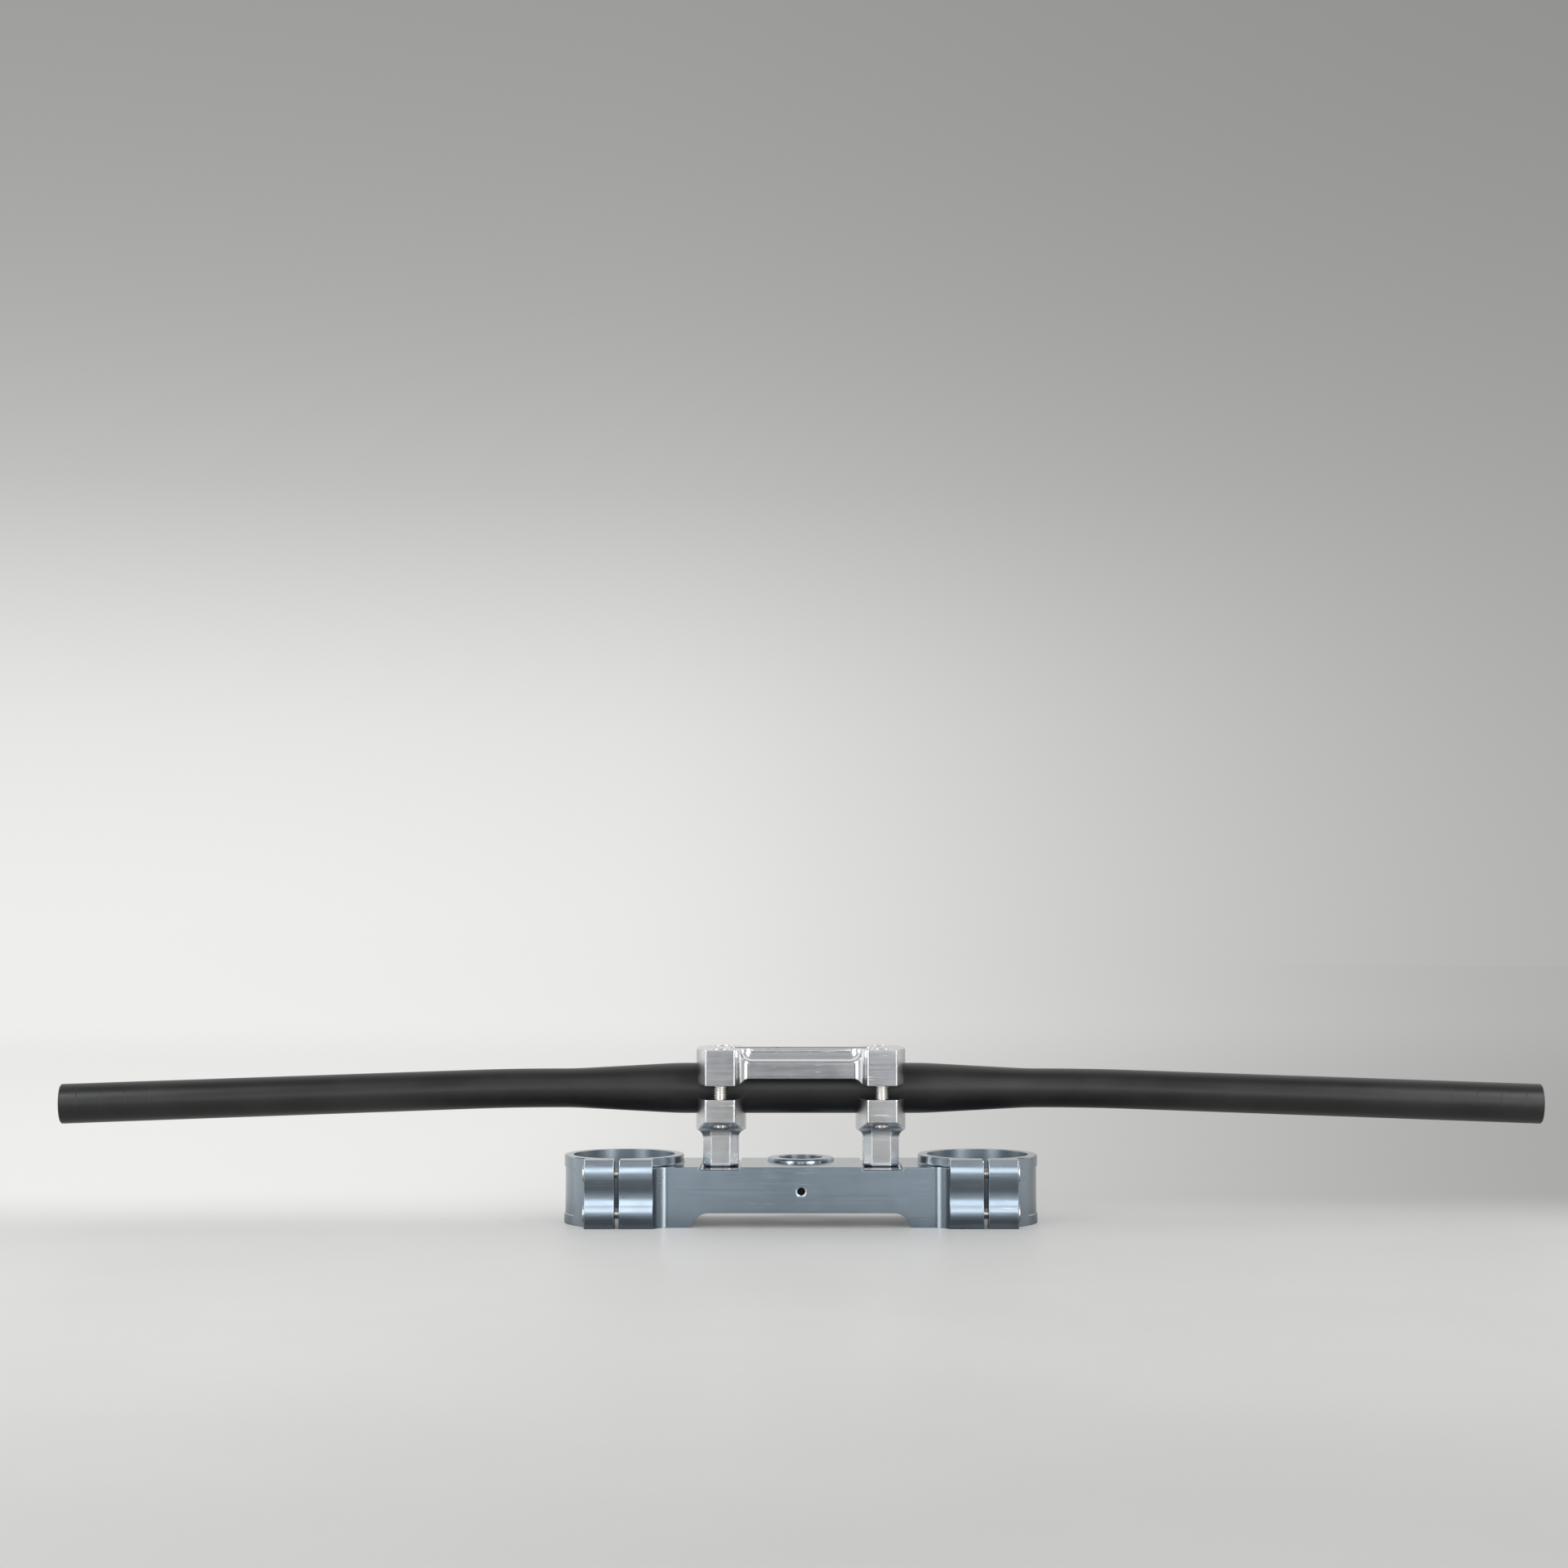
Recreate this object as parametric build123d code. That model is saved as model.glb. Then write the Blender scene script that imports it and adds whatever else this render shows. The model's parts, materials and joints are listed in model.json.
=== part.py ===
from build123d import *
import math
import os

# Tapered handlebar bolted in a two-bolt-a-side clamp on a pair of risers, on the top yoke of a
# motorcycle fork. X runs along the bar to the rider's right, Y points away from the viewer at the
# front of the yoke, and Z is up from the flat underside of the yoke. X = 0 is the middle of the
# bar, and Y = 0 is the plane that holds the bar's axis and both fork tubes. Millimetres.

# Handlebar
BAR_SPAN = 832.8  # end to end, between the middles of the two end faces
BAR_MIDDLE_DIAMETER = 28.6
BAR_GRIP_DIAMETER = 22.2
BAR_MIDDLE_WALL = 4.5
BAR_GRIP_WALL = 4.1
BAR_MIDDLE_LENGTH = 140.0  # the thick stretch
BAR_TAPER_LENGTH = 59.5
BAR_TAPER_EASE = 6.0  # length over which each end of the taper is rounded off
BAR_BEND_LEAD = 8.5  # straight between taper and bend
BAR_BEND_RADIUS = 480.0
BAR_BEND_ANGLE = 6.1
BAR_ROLL = 15.5  # how far the bar is turned in its clamp, so that its ends drop
BAR_END_CHAMFER = 0.6

# Bar seat, shared by the clamp and the risers
SEAT_CLEARANCE = 0.05
SEAT_SPACING = 91.2  # between the middles of the two seats

# Bolts through the clamp
CLAMP_THREAD = 8.0
CLAMP_BOLT_LENGTH = 30.0
CLAMP_HEAD_DIAMETER = 13.0
CLAMP_HEAD_HEIGHT = 8.0
CLAMP_KEY = 6.0
CLAMP_KEY_DEPTH = 4.0
BOLT_WALL = 2.5  # metal between the bar seat and a bolt hole
HEAD_SINK = 0.2  # how far a head sits below the top face
HOLE_CLEARANCE = 0.4  # all round a shank that passes freely, on the diameter
HEAD_CLEARANCE = 0.6  # all round a head in its counterbore, on the diameter
THREAD_CLEARANCE = 0.16  # between a shank and its tapped hole, on the diameter
HEAD_CHAMFER = 0.6

# Clamp and riser blocks, which share one outline seen from above
BLOCK_FACE_WIDTH = 16.7
BLOCK_BELLY_WIDTH = 28.4
BLOCK_END_WALL = 1.7  # metal in front of a head counterbore
BLOCK_EDGE_ROUND = 1.4
BLOCK_EDGE_BREAK = 0.3
CLAMP_ROOF = 8.65  # metal over the bar
CLAMP_LIFT = 2.8  # underside of the clamp above the bar's axis

# Bridge between the clamp's blocks
BRIDGE_WALL = 7.2  # metal between the bar seat and the bridge's face, seen from above
BRIDGE_RISE = 3.7  # underside of the bridge above the underside of the blocks
BRIDGE_FLAT = 58.6  # length of the level stretch of that underside
BRIDGE_RAMP = 8.1  # length of the curve down to each block
BRIDGE_FILLET = 7.5
GROOVE_RADIUS = 7.6
GROOVE_LENGTH = 55.0  # between the middles of the round ends
RECESS_LENGTH = 87.0
RECESS_WIDTH = 15.0
RECESS_DEPTH = 0.5

# Risers
RISER_HEIGHT = 43.6  # foot to the bar's axis
RISER_DROP = 4.9  # top face below the bar's axis
RISER_FLOOR = 9.0  # metal under the bar at the middle of the head
RISER_FACE_HEIGHT = 12.7  # front face of the head
COLUMN_WIDTH = 20.0
COLUMN_DEPTH = 28.4
COLUMN_CHAMFER = 4.7
COLUMN_FILLET = 5.0
COLUMN_FOOT_CHAMFER = 0.8

# Bolts that hold the risers from below
RISER_THREAD = 10.0
RISER_BOLT_LENGTH = 35.0
RISER_HEAD_DIAMETER = 16.0
RISER_HEAD_HEIGHT = 10.0
RISER_KEY = 8.0
RISER_KEY_DEPTH = 5.0
RISER_TAP_SPARE = 4.0  # tapped hole past the end of the bolt
WASHER_DIAMETER = 20.0
WASHER_THICKNESS = 2.0
RISER_HEAD_SINK = 1.0  # head below the underside of the web

# Fork rings of the yoke
FORK_SPACING = 202.0
FORK_DIAMETER = 58.0
RING_WALL = 5.1
RING_HEIGHT = 38.3
RING_EDGE_BREAK = 0.4
COLLAR_HEIGHT = 4.8  # ring above the web
COLLAR_FILLET = 1.2
FLANK_DEPTH = 0.6
FLANK_ANGLE = 80.0
FLANK_BOTTOM = 5.5
FLANK_HEIGHT = 26.5
FLANK_ROUND = 2.5

# Pinch lugs and their bolts
PINCH_THREAD = 6.0
PINCH_BOLT_LENGTH = 30.0
PINCH_HEAD_DIAMETER = 10.0
PINCH_HEAD_HEIGHT = 6.0
PINCH_HEAD_PROUD = 1.0
PINCH_KEY = 5.0
PINCH_KEY_DEPTH = 3.0
PINCH_WALL = 0.6  # metal between the fork bore and a bolt hole
PINCH_TAP_SPARE = 1.5
PINCH_LOWER = 8.0
PINCH_DROP = 8.0  # upper bolt's axis below the top of the ring
LUG_COVER = 7.2  # metal in front of the upper bolt's axis
LUG_STEP = 0.8  # lower lobe behind the upper one
LUG_INSIDE = 20.0  # slot middle to the lug's side towards the web
LUG_OUTSIDE = 18.1  # slot middle to the lug's outer side
LOBE_RADIUS = 19.0
VALLEY_RADIUS = 22.2
VALLEY_ANGLE = 17.8  # how far round the upper lobe the valley starts
SLOT_WIDTH = 2.5
SLOT_OFFSET = 2.0  # outside of the fork tube's middle
SLOT_FLARE = 0.7
LUG_EDGE_BREAK = 0.35

# Web of the yoke
WEB_FRONT = 31.0
WEB_BACK = 27.5
WEB_BLEND = 9.3  # upright hollow between the web's face and a lug
WEB_CORNER = 8.0  # upright hollow between the web's back edge and a ring
WEB_EDGE_BREAK = 0.3
ARCH_FLAT = 103.8
ARCH_HEIGHT = 8.1
ARCH_CORNER = 9.6
SEAT_DEPTH = 1.3  # shallow way across the top that a riser stands in
SEAT_SIDE = 1.15  # clear on each side of a riser
SEAT_LIP = 0.8

# Steering stem eye
STEM_BACK = 14.4
STEM_DIAMETER = 25.5
STEM_RIM = 6.5
STEM_RISE = 1.7
STEM_BULGE = 1.1  # web behind the rim
STEM_CHAMFER = 1.0
STEM_SKIRT = 4.5  # metal left round the bore on the underside

# Lightening pockets in the underside and the threaded hole in the front
POCKET_RIB = 12.0
POCKET_ROOF = 9.0
POCKET_WALL = 5.0
POCKET_ROUND = 4.0
FRONT_TAP_DRILL = 4.2  # of an M5 thread
FRONT_HOLE_DEPTH = 12.0
FRONT_HOLE_MOUTH = 6.0
FRONT_HOLE_HEIGHT = 20.1

# Worked out from the sizes above
LEFT = -1
RIGHT = 1
SIDES = {"left": LEFT, "right": RIGHT}
WEB_TOP = RING_HEIGHT - COLLAR_HEIGHT
RISER_FOOT = WEB_TOP - SEAT_DEPTH
BAR_Z = RISER_FOOT + RISER_HEIGHT
SEAT_RADIUS = BAR_MIDDLE_DIAMETER / 2 + SEAT_CLEARANCE
CLAMP_BOTTOM = BAR_Z + CLAMP_LIFT
CLAMP_TOP = BAR_Z + SEAT_RADIUS + CLAMP_ROOF
RISER_TOP = BAR_Z - RISER_DROP
RISER_BELLY = BAR_Z - SEAT_RADIUS - RISER_FLOOR
CLAMP_HOLE = CLAMP_THREAD + HOLE_CLEARANCE
CLAMP_COUNTERBORE = CLAMP_HEAD_DIAMETER + HEAD_CLEARANCE
CLAMP_HEAD_SEAT = CLAMP_TOP - HEAD_SINK - CLAMP_HEAD_HEIGHT
BOLT_Y = SEAT_RADIUS + BOLT_WALL + CLAMP_HOLE / 2
BLOCK_HALF_DEPTH = BOLT_Y + CLAMP_COUNTERBORE / 2 + BLOCK_END_WALL
BRIDGE_HALF_DEPTH = SEAT_RADIUS + BRIDGE_WALL
SEAT_X = SEAT_SPACING / 2
FORK_X = FORK_SPACING / 2
FORK_RADIUS = FORK_DIAMETER / 2
RING_RADIUS = FORK_RADIUS + RING_WALL
SLOT_X = FORK_X + SLOT_OFFSET
LUG_IN_X = SLOT_X - LUG_INSIDE
LUG_OUT_X = SLOT_X + LUG_OUTSIDE
PINCH_HOLE = PINCH_THREAD + HOLE_CLEARANCE
PINCH_COUNTERBORE = PINCH_HEAD_DIAMETER + HEAD_CLEARANCE
PINCH_UPPER = RING_HEIGHT - PINCH_DROP
PINCH_HEIGHTS = {"upper": PINCH_UPPER, "lower": PINCH_LOWER}
PINCH_Y = -(FORK_RADIUS + PINCH_WALL + PINCH_HOLE / 2)
PINCH_HEAD_SEAT = LUG_OUT_X + PINCH_HEAD_PROUD - PINCH_HEAD_HEIGHT
LUG_FRONT = PINCH_Y - LUG_COVER
RISER_HEAD_SEAT = ARCH_HEIGHT + RISER_HEAD_SINK + RISER_HEAD_HEIGHT
WASHER_TOP = RISER_HEAD_SEAT + WASHER_THICKNESS
STEM_RADIUS = STEM_DIAMETER / 2
STEM_OUTER = STEM_RADIUS + STEM_RIM


def cylinder_x(radius, x_from, x_to, y=0.0, z=0.0):
    """A round bar along X between two stations."""
    middle = (x_from + x_to) / 2
    return Pos(middle, y, z) * Rot(0, 90, 0) * Cylinder(radius, abs(x_to - x_from))


def cylinder_z(radius, z_from, z_to, x=0.0, y=0.0):
    """A round bar along Z between two heights."""
    return Pos(x, y, (z_from + z_to) / 2) * Cylinder(radius, abs(z_to - z_from))


def block(x_span, y_span, z_span):
    """A box between two stations on each axis."""
    size = [high - low for low, high in (x_span, y_span, z_span)]
    middle = [(low + high) / 2 for low, high in (x_span, y_span, z_span)]
    return Pos(*middle) * Box(*size)


def bore(radius, z_from, z_to, x=0.0, y=0.0, edge_break=0.0):
    """What an upright through hole removes, with its two rims broken at 45 degrees."""
    hole = cylinder_z(radius, z_from - 1, z_to + 1, x, y)
    if edge_break:
        reach = 2 * edge_break
        hole += Pos(x, y, z_to) * Cone(radius - edge_break, radius + edge_break, reach)
        hole += Pos(x, y, z_from) * Cone(radius + edge_break, radius - edge_break, reach)
    return hole


def both_sides(part):
    """The part and its mirror image across the middle of the bar."""
    return part + mirror(part, Plane.YZ)


def turned(points_outside, points_inside, ease):
    """A hollow turned piece along X, from two outlines of (station, radius), the outer one eased."""
    outer = eased(points_outside, ease)
    inner = Polyline(*points_inside)
    ends = [Line(outer @ 0, inner @ 0), Line(outer @ 1, inner @ 1)]
    return revolve(make_face([outer, inner, *ends]), Axis.X)


def eased(points, ease):
    """A run of straight lines whose corners are rounded over the length given."""
    if not ease:
        return Polyline(*points)
    slope = math.atan2(abs(points[1][1] - points[2][1]), points[2][0] - points[1][0])
    return FilletPolyline(*points, radius=ease / math.tan(slope / 2))


def make_handlebar():
    """The swaged tube: thick middle, tapers, bends and straight grips, turned in its clamp."""
    middle_radius = BAR_MIDDLE_DIAMETER / 2
    grip_radius = BAR_GRIP_DIAMETER / 2
    middle_bore = middle_radius - BAR_MIDDLE_WALL
    grip_bore = grip_radius - BAR_GRIP_WALL
    taper_start = BAR_MIDDLE_LENGTH / 2
    taper_end = taper_start + BAR_TAPER_LENGTH
    bend_start = taper_end + BAR_BEND_LEAD
    stations = [0.0, taper_start, taper_end, bend_start]
    outside = list(zip(stations, [middle_radius, middle_radius, grip_radius, grip_radius]))
    inside = list(zip(stations, [middle_bore, middle_bore, grip_bore, grip_bore]))
    middle = turned(outside, inside, BAR_TAPER_EASE)

    turn = math.radians(BAR_BEND_ANGLE)
    ring = Pos(bend_start, 0, 0) * (Plane.YZ * (Circle(grip_radius) - Circle(grip_bore)))
    bend_axis = Axis((bend_start, -BAR_BEND_RADIUS, 0), (0, 0, -1))
    bend = revolve(ring, bend_axis, BAR_BEND_ANGLE)

    bend_end_x = bend_start + BAR_BEND_RADIUS * math.sin(turn)
    bend_end_y = -BAR_BEND_RADIUS * (1 - math.cos(turn))
    grip_length = (BAR_SPAN / 2 - bend_end_x) / math.cos(turn)
    chamfer_start = grip_length - BAR_END_CHAMFER
    outside = [(0, grip_radius), (chamfer_start, grip_radius), (grip_length, grip_radius - BAR_END_CHAMFER)]
    inside = [(0, grip_bore), (chamfer_start, grip_bore), (grip_length, grip_bore + BAR_END_CHAMFER)]
    grip = Pos(bend_end_x, bend_end_y, 0) * Rot(0, 0, -BAR_BEND_ANGLE) * turned(outside, inside, 0)

    half = middle + bend + grip
    return Pos(0, 0, BAR_Z) * Rot(BAR_ROLL, 0, 0) * both_sides(half)


def block_outline():
    """A clamp block from above: flat front and back, bellied sides, rounded corners."""
    face = BLOCK_FACE_WIDTH / 2
    belly = BLOCK_BELLY_WIDTH / 2
    depth = BLOCK_HALF_DEPTH
    front = Line((-face, -depth), (face, -depth))
    right = ThreePointArc((face, -depth), (belly, 0), (face, depth))
    back = Line((face, depth), (-face, depth))
    left = ThreePointArc((-face, depth), (-belly, 0), (-face, -depth))
    outline = make_face([front, right, back, left])
    return fillet(outline.vertices(), BLOCK_EDGE_ROUND)


def clamp_outline():
    """Both clamp blocks and the bridge between them, from above."""
    blocks = Pos(-SEAT_X, 0) * block_outline() + Pos(SEAT_X, 0) * block_outline()
    outline = blocks + Rectangle(SEAT_SPACING, 2 * BRIDGE_HALF_DEPTH)
    corners = [v for v in outline.vertices() if abs(abs(v.Y) - BRIDGE_HALF_DEPTH) < 1e-3]
    return fillet(corners, BRIDGE_FILLET)


def bridge_relief():
    """What is milled away under the bridge, with an S-shaped ramp down to each block."""
    low = CLAMP_BOTTOM
    high = CLAMP_BOTTOM + BRIDGE_RISE
    flat = BRIDGE_FLAT / 2
    foot = flat + BRIDGE_RAMP
    middle = (flat + BRIDGE_RAMP / 2, low + BRIDGE_RISE / 2)
    half_turn = math.atan2(BRIDGE_RISE, BRIDGE_RAMP)
    ramp_radius = BRIDGE_RAMP / 2 / math.sin(2 * half_turn)
    upper = RadiusArc((flat, high), middle, ramp_radius)
    lower = RadiusArc(middle, (foot, low), -ramp_radius)
    top = Line((0, high), (flat, high))
    down = Line((foot, low), (foot, low - 1))
    under = Line((foot, low - 1), (0, low - 1))
    close = Line((0, low - 1), (0, high))
    face = Plane.XZ * make_face([top, upper, lower, down, under, close])
    return both_sides(extrude(face, BLOCK_HALF_DEPTH, both=True))


def edge_groove():
    """The round-ended scoop along the bridge's front top edge."""
    end = GROOVE_LENGTH / 2
    scoop = cylinder_x(GROOVE_RADIUS, -end, end)
    for x in (-end, end):
        scoop += Pos(x, 0, 0) * Sphere(GROOVE_RADIUS)
    return Pos(0, -BRIDGE_HALF_DEPTH, CLAMP_TOP) * scoop


def clamp_bolt_places():
    """Name, X and Y of each bolt through the clamp."""
    rows = {"front": -BOLT_Y, "rear": BOLT_Y}
    places = []
    for row, y in rows.items():
        for side, sign in SIDES.items():
            places.append((f"{row}_{side}", sign * SEAT_X, y))
    return places


def make_top_clamp():
    """The one-piece upper half of the clamp, both blocks and the bridge."""
    body = extrude(Pos(0, 0, CLAMP_BOTTOM) * clamp_outline(), CLAMP_TOP - CLAMP_BOTTOM)
    rims = body.faces().filter_by(Axis.Z).edges()
    body = chamfer(rims, BLOCK_EDGE_BREAK)
    body -= bridge_relief()
    body -= cylinder_x(SEAT_RADIUS, -2 * SEAT_X, 2 * SEAT_X, 0, BAR_Z)
    groove = edge_groove()
    body -= groove
    body -= mirror(groove, Plane.XZ)
    recess = Pos(0, 0, CLAMP_TOP - RECESS_DEPTH) * SlotOverall(RECESS_LENGTH, RECESS_WIDTH)
    body -= extrude(recess, 2 * RECESS_DEPTH)
    for _, x, y in clamp_bolt_places():
        body -= cylinder_z(CLAMP_HOLE / 2, CLAMP_BOTTOM - 1, CLAMP_TOP, x, y)
        body -= cylinder_z(CLAMP_COUNTERBORE / 2, CLAMP_HEAD_SEAT, CLAMP_TOP + 1, x, y)
    return body


def column_outline():
    """The riser's column from above, a rectangle with cut corners."""
    outline = Rectangle(COLUMN_WIDTH, COLUMN_DEPTH)
    return chamfer(outline.vertices(), COLUMN_CHAMFER)


def riser_plate():
    """A wide plate whose underside is an arc, lowest under the bar."""
    reach = BLOCK_HALF_DEPTH
    edge = RISER_TOP - RISER_FACE_HEIGHT
    sides = Polyline((reach, edge), (reach, RISER_TOP), (-reach, RISER_TOP), (-reach, edge))
    belly = ThreePointArc((-reach, edge), (0, RISER_BELLY), (reach, edge))
    face = Plane.YZ * make_face([sides, belly])
    return extrude(face, BLOCK_BELLY_WIDTH, both=True)


def make_riser(side):
    """A riser: filleted column under a head that has the clamp block's outline."""
    column = extrude(Pos(0, 0, RISER_FOOT) * column_outline(), RISER_BELLY + RISER_FLOOR / 2 - RISER_FOOT)
    column = chamfer(column.faces().sort_by(Axis.Z)[0].edges(), COLUMN_FOOT_CHAMFER)
    body = column + riser_plate()
    low = RISER_BELLY - RISER_FLOOR
    joint = [e for e in body.edges() if meets_column(e) and e.center().Z > low]
    body = fillet(joint, COLUMN_FILLET)
    outline = extrude(Pos(0, 0, RISER_FOOT) * block_outline(), RISER_TOP - RISER_FOOT)
    outline = chamfer(outline.faces().sort_by(Axis.Z)[-1].edges(), BLOCK_EDGE_BREAK)
    body &= outline
    body -= cylinder_x(SEAT_RADIUS, -BLOCK_BELLY_WIDTH, BLOCK_BELLY_WIDTH, 0, BAR_Z)
    for y in (-BOLT_Y, BOLT_Y):
        body -= cylinder_z((CLAMP_THREAD + THREAD_CLEARANCE) / 2, RISER_BELLY, RISER_TOP + 1, 0, y)
    tap_end = RISER_HEAD_SEAT + RISER_BOLT_LENGTH + RISER_TAP_SPARE
    body -= cylinder_z((RISER_THREAD + THREAD_CLEARANCE) / 2, RISER_FOOT - 1, tap_end)
    return Pos(SIDES[side] * SEAT_X, 0, 0) * body


def meets_column(edge):
    """Whether an edge lies on the column's upright faces and is not itself upright."""
    box = edge.bounding_box()
    inside = max(abs(box.min.X), abs(box.max.X)) <= COLUMN_WIDTH / 2 + 1e-3
    inside = inside and max(abs(box.min.Y), abs(box.max.Y)) <= COLUMN_DEPTH / 2 + 1e-3
    upright = box.size.Z > 10 * max(box.size.X, box.size.Y)
    return inside and not upright


def socket_bolt(thread, length, head_diameter, head_height, key, key_depth):
    """A socket-head bolt that points down, with the underside of its head at Z = 0."""
    head = cylinder_z(head_diameter / 2, 0, head_height)
    head = chamfer(head.edges().sort_by(Axis.Z)[-1], HEAD_CHAMFER)
    socket = Pos(0, 0, head_height - key_depth) * RegularPolygon(key / 2, 6, major_radius=False)
    head -= extrude(socket, key_depth + 1)
    shank = cylinder_z(thread / 2, -length, 0)
    shank = chamfer(shank.edges().sort_by(Axis.Z)[0], thread / 10)
    return head + shank


def make_clamp_bolt(x, y):
    """A bolt that pulls the clamp down onto the bar."""
    bolt = socket_bolt(
        CLAMP_THREAD, CLAMP_BOLT_LENGTH, CLAMP_HEAD_DIAMETER, CLAMP_HEAD_HEIGHT, CLAMP_KEY, CLAMP_KEY_DEPTH
    )
    return Pos(x, y, CLAMP_HEAD_SEAT) * bolt


def make_riser_bolt(side):
    """The bolt that holds a riser from under the yoke."""
    bolt = socket_bolt(
        RISER_THREAD, RISER_BOLT_LENGTH, RISER_HEAD_DIAMETER, RISER_HEAD_HEIGHT, RISER_KEY, RISER_KEY_DEPTH
    )
    return Pos(SIDES[side] * SEAT_X, 0, RISER_HEAD_SEAT) * Rot(180, 0, 0) * bolt


def make_riser_washer(side):
    """The plain washer under that bolt's head."""
    washer = cylinder_z(WASHER_DIAMETER / 2, RISER_HEAD_SEAT, WASHER_TOP)
    washer -= cylinder_z((RISER_THREAD + HOLE_CLEARANCE) / 2, 0, WASHER_TOP + 1)
    return Pos(SIDES[side] * SEAT_X, 0, 0) * washer


def make_pinch_bolt(side, height):
    """A pinch bolt, put in from the outer side of its lug."""
    bolt = socket_bolt(
        PINCH_THREAD, PINCH_BOLT_LENGTH, PINCH_HEAD_DIAMETER, PINCH_HEAD_HEIGHT, PINCH_KEY, PINCH_KEY_DEPTH
    )
    sign = SIDES[side]
    return Pos(sign * PINCH_HEAD_SEAT, PINCH_Y, height) * Rot(0, sign * 90, 0) * bolt


def circle_crossing(centre_a, radius_a, centre_b, radius_b):
    """The higher point where two circles cross, or the one between them where they stay apart."""
    across = centre_b[0] - centre_a[0]
    up = centre_b[1] - centre_a[1]
    apart = math.hypot(across, up)
    along = (radius_a**2 - radius_b**2 + apart**2) / (2 * apart)
    off = math.sqrt(max(radius_a**2 - along**2, 0.0))
    foot = (centre_a[0] + along * across / apart, centre_a[1] + along * up / apart)
    aside = (-off * up / apart, off * across / apart)
    crossings = [(foot[0] + side * aside[0], foot[1] + side * aside[1]) for side in (-1, 1)]
    return max(crossings, key=lambda point: point[1])


def on_circle(centre, radius, degrees):
    """The point of a circle's front that faces the given angle above level."""
    angle = math.radians(degrees)
    return (centre[0] - radius * math.cos(angle), centre[1] + radius * math.sin(angle))


def midway(centre, radius, start, end):
    """The point of a circle that lies midway between two others."""
    across = (start[0] + end[0]) / 2 - centre[0]
    up = (start[1] + end[1]) / 2 - centre[1]
    apart = math.hypot(across, up)
    return (centre[0] + radius * across / apart, centre[1] + radius * up / apart)


def lug_profile():
    """A lug from the side: a lobe round each bolt, a valley between, a crease above the lower lobe."""
    upper = (LUG_FRONT + LOBE_RADIUS, PINCH_UPPER)
    lower = (LUG_FRONT + LUG_STEP + LOBE_RADIUS, PINCH_LOWER)
    top = on_circle(upper, LOBE_RADIUS, math.degrees(math.asin((RING_HEIGHT - PINCH_UPPER) / LOBE_RADIUS)))
    turn = on_circle(upper, LOBE_RADIUS, -VALLEY_ANGLE)
    valley = on_circle(upper, LOBE_RADIUS + VALLEY_RADIUS, -VALLEY_ANGLE)
    crease = circle_crossing(lower, LOBE_RADIUS, valley, VALLEY_RADIUS)
    bottom = on_circle(lower, LOBE_RADIUS, -math.degrees(math.asin(PINCH_LOWER / LOBE_RADIUS)))
    edges = [
        ThreePointArc(top, on_circle(upper, LOBE_RADIUS, 0), turn),
        ThreePointArc(turn, midway(valley, VALLEY_RADIUS, turn, crease), crease),
        ThreePointArc(crease, on_circle(lower, LOBE_RADIUS, 0), bottom),
        Polyline(bottom, (-RING_WALL, 0), (-RING_WALL, RING_HEIGHT), top),
    ]
    return Plane.YZ * make_face(edges)


def slot_cut():
    """The saw cut through the right ring and lug, with its top opened in a small V."""
    half = SLOT_WIDTH / 2
    reach = 2 * LUG_FRONT
    cut = block((SLOT_X - half, SLOT_X + half), (reach, 0), (-1, RING_HEIGHT + 1))
    flare = math.sqrt(2) * (half + SLOT_FLARE)
    return cut + Pos(SLOT_X, reach / 2, RING_HEIGHT) * Rot(0, 45, 0) * Box(flare, -reach, flare)


def lug_solid():
    """The right lug with the upright hollow that leads into the web's face."""
    blend_x = LUG_IN_X - WEB_BLEND
    lug = extrude(Pos(blend_x, 0, 0) * lug_profile(), LUG_OUT_X - blend_x)
    lug -= cylinder_z(WEB_BLEND, -1, RING_HEIGHT + 1, blend_x, -WEB_FRONT - WEB_BLEND)
    lug -= block((blend_x - 1, LUG_IN_X), (-2 * WEB_FRONT, 0), (WEB_TOP, RING_HEIGHT + 1))
    slot_sides = (SLOT_X - SLOT_WIDTH / 2, SLOT_X + SLOT_WIDTH / 2)
    lug -= block(slot_sides, (2 * LUG_FRONT, 0), (-1, RING_HEIGHT + 1))
    stations = (*slot_sides, LUG_OUT_X)
    corners = [e for e in lug.edges() if lies_on(e, stations) and e.center().Y < PINCH_Y]
    corners = [e for e in corners if e.geom_type == GeomType.CIRCLE]
    return chamfer(corners, LUG_EDGE_BREAK)


def lies_on(edge, stations):
    """Whether an edge lies in one of the upright planes across X."""
    box = edge.bounding_box()
    return box.size.X < 1e-3 and any(abs(box.min.X - x) < 1e-3 for x in stations)


def flank_pocket():
    """The shallow band milled into the outer side of the right ring."""
    half = math.radians(FLANK_ANGLE / 2)
    reach = 2 * RING_RADIUS
    middle = FLANK_BOTTOM + FLANK_HEIGHT / 2
    width = 2 * RING_RADIUS * math.sin(half)
    window = Plane.YZ * Pos(0, middle) * RectangleRounded(width, FLANK_HEIGHT, FLANK_ROUND)
    cutter = extrude(window, reach)
    cutter -= cylinder_z(RING_RADIUS - FLANK_DEPTH, 0, RING_HEIGHT)
    return Pos(FORK_X, 0, 0) * cutter


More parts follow.
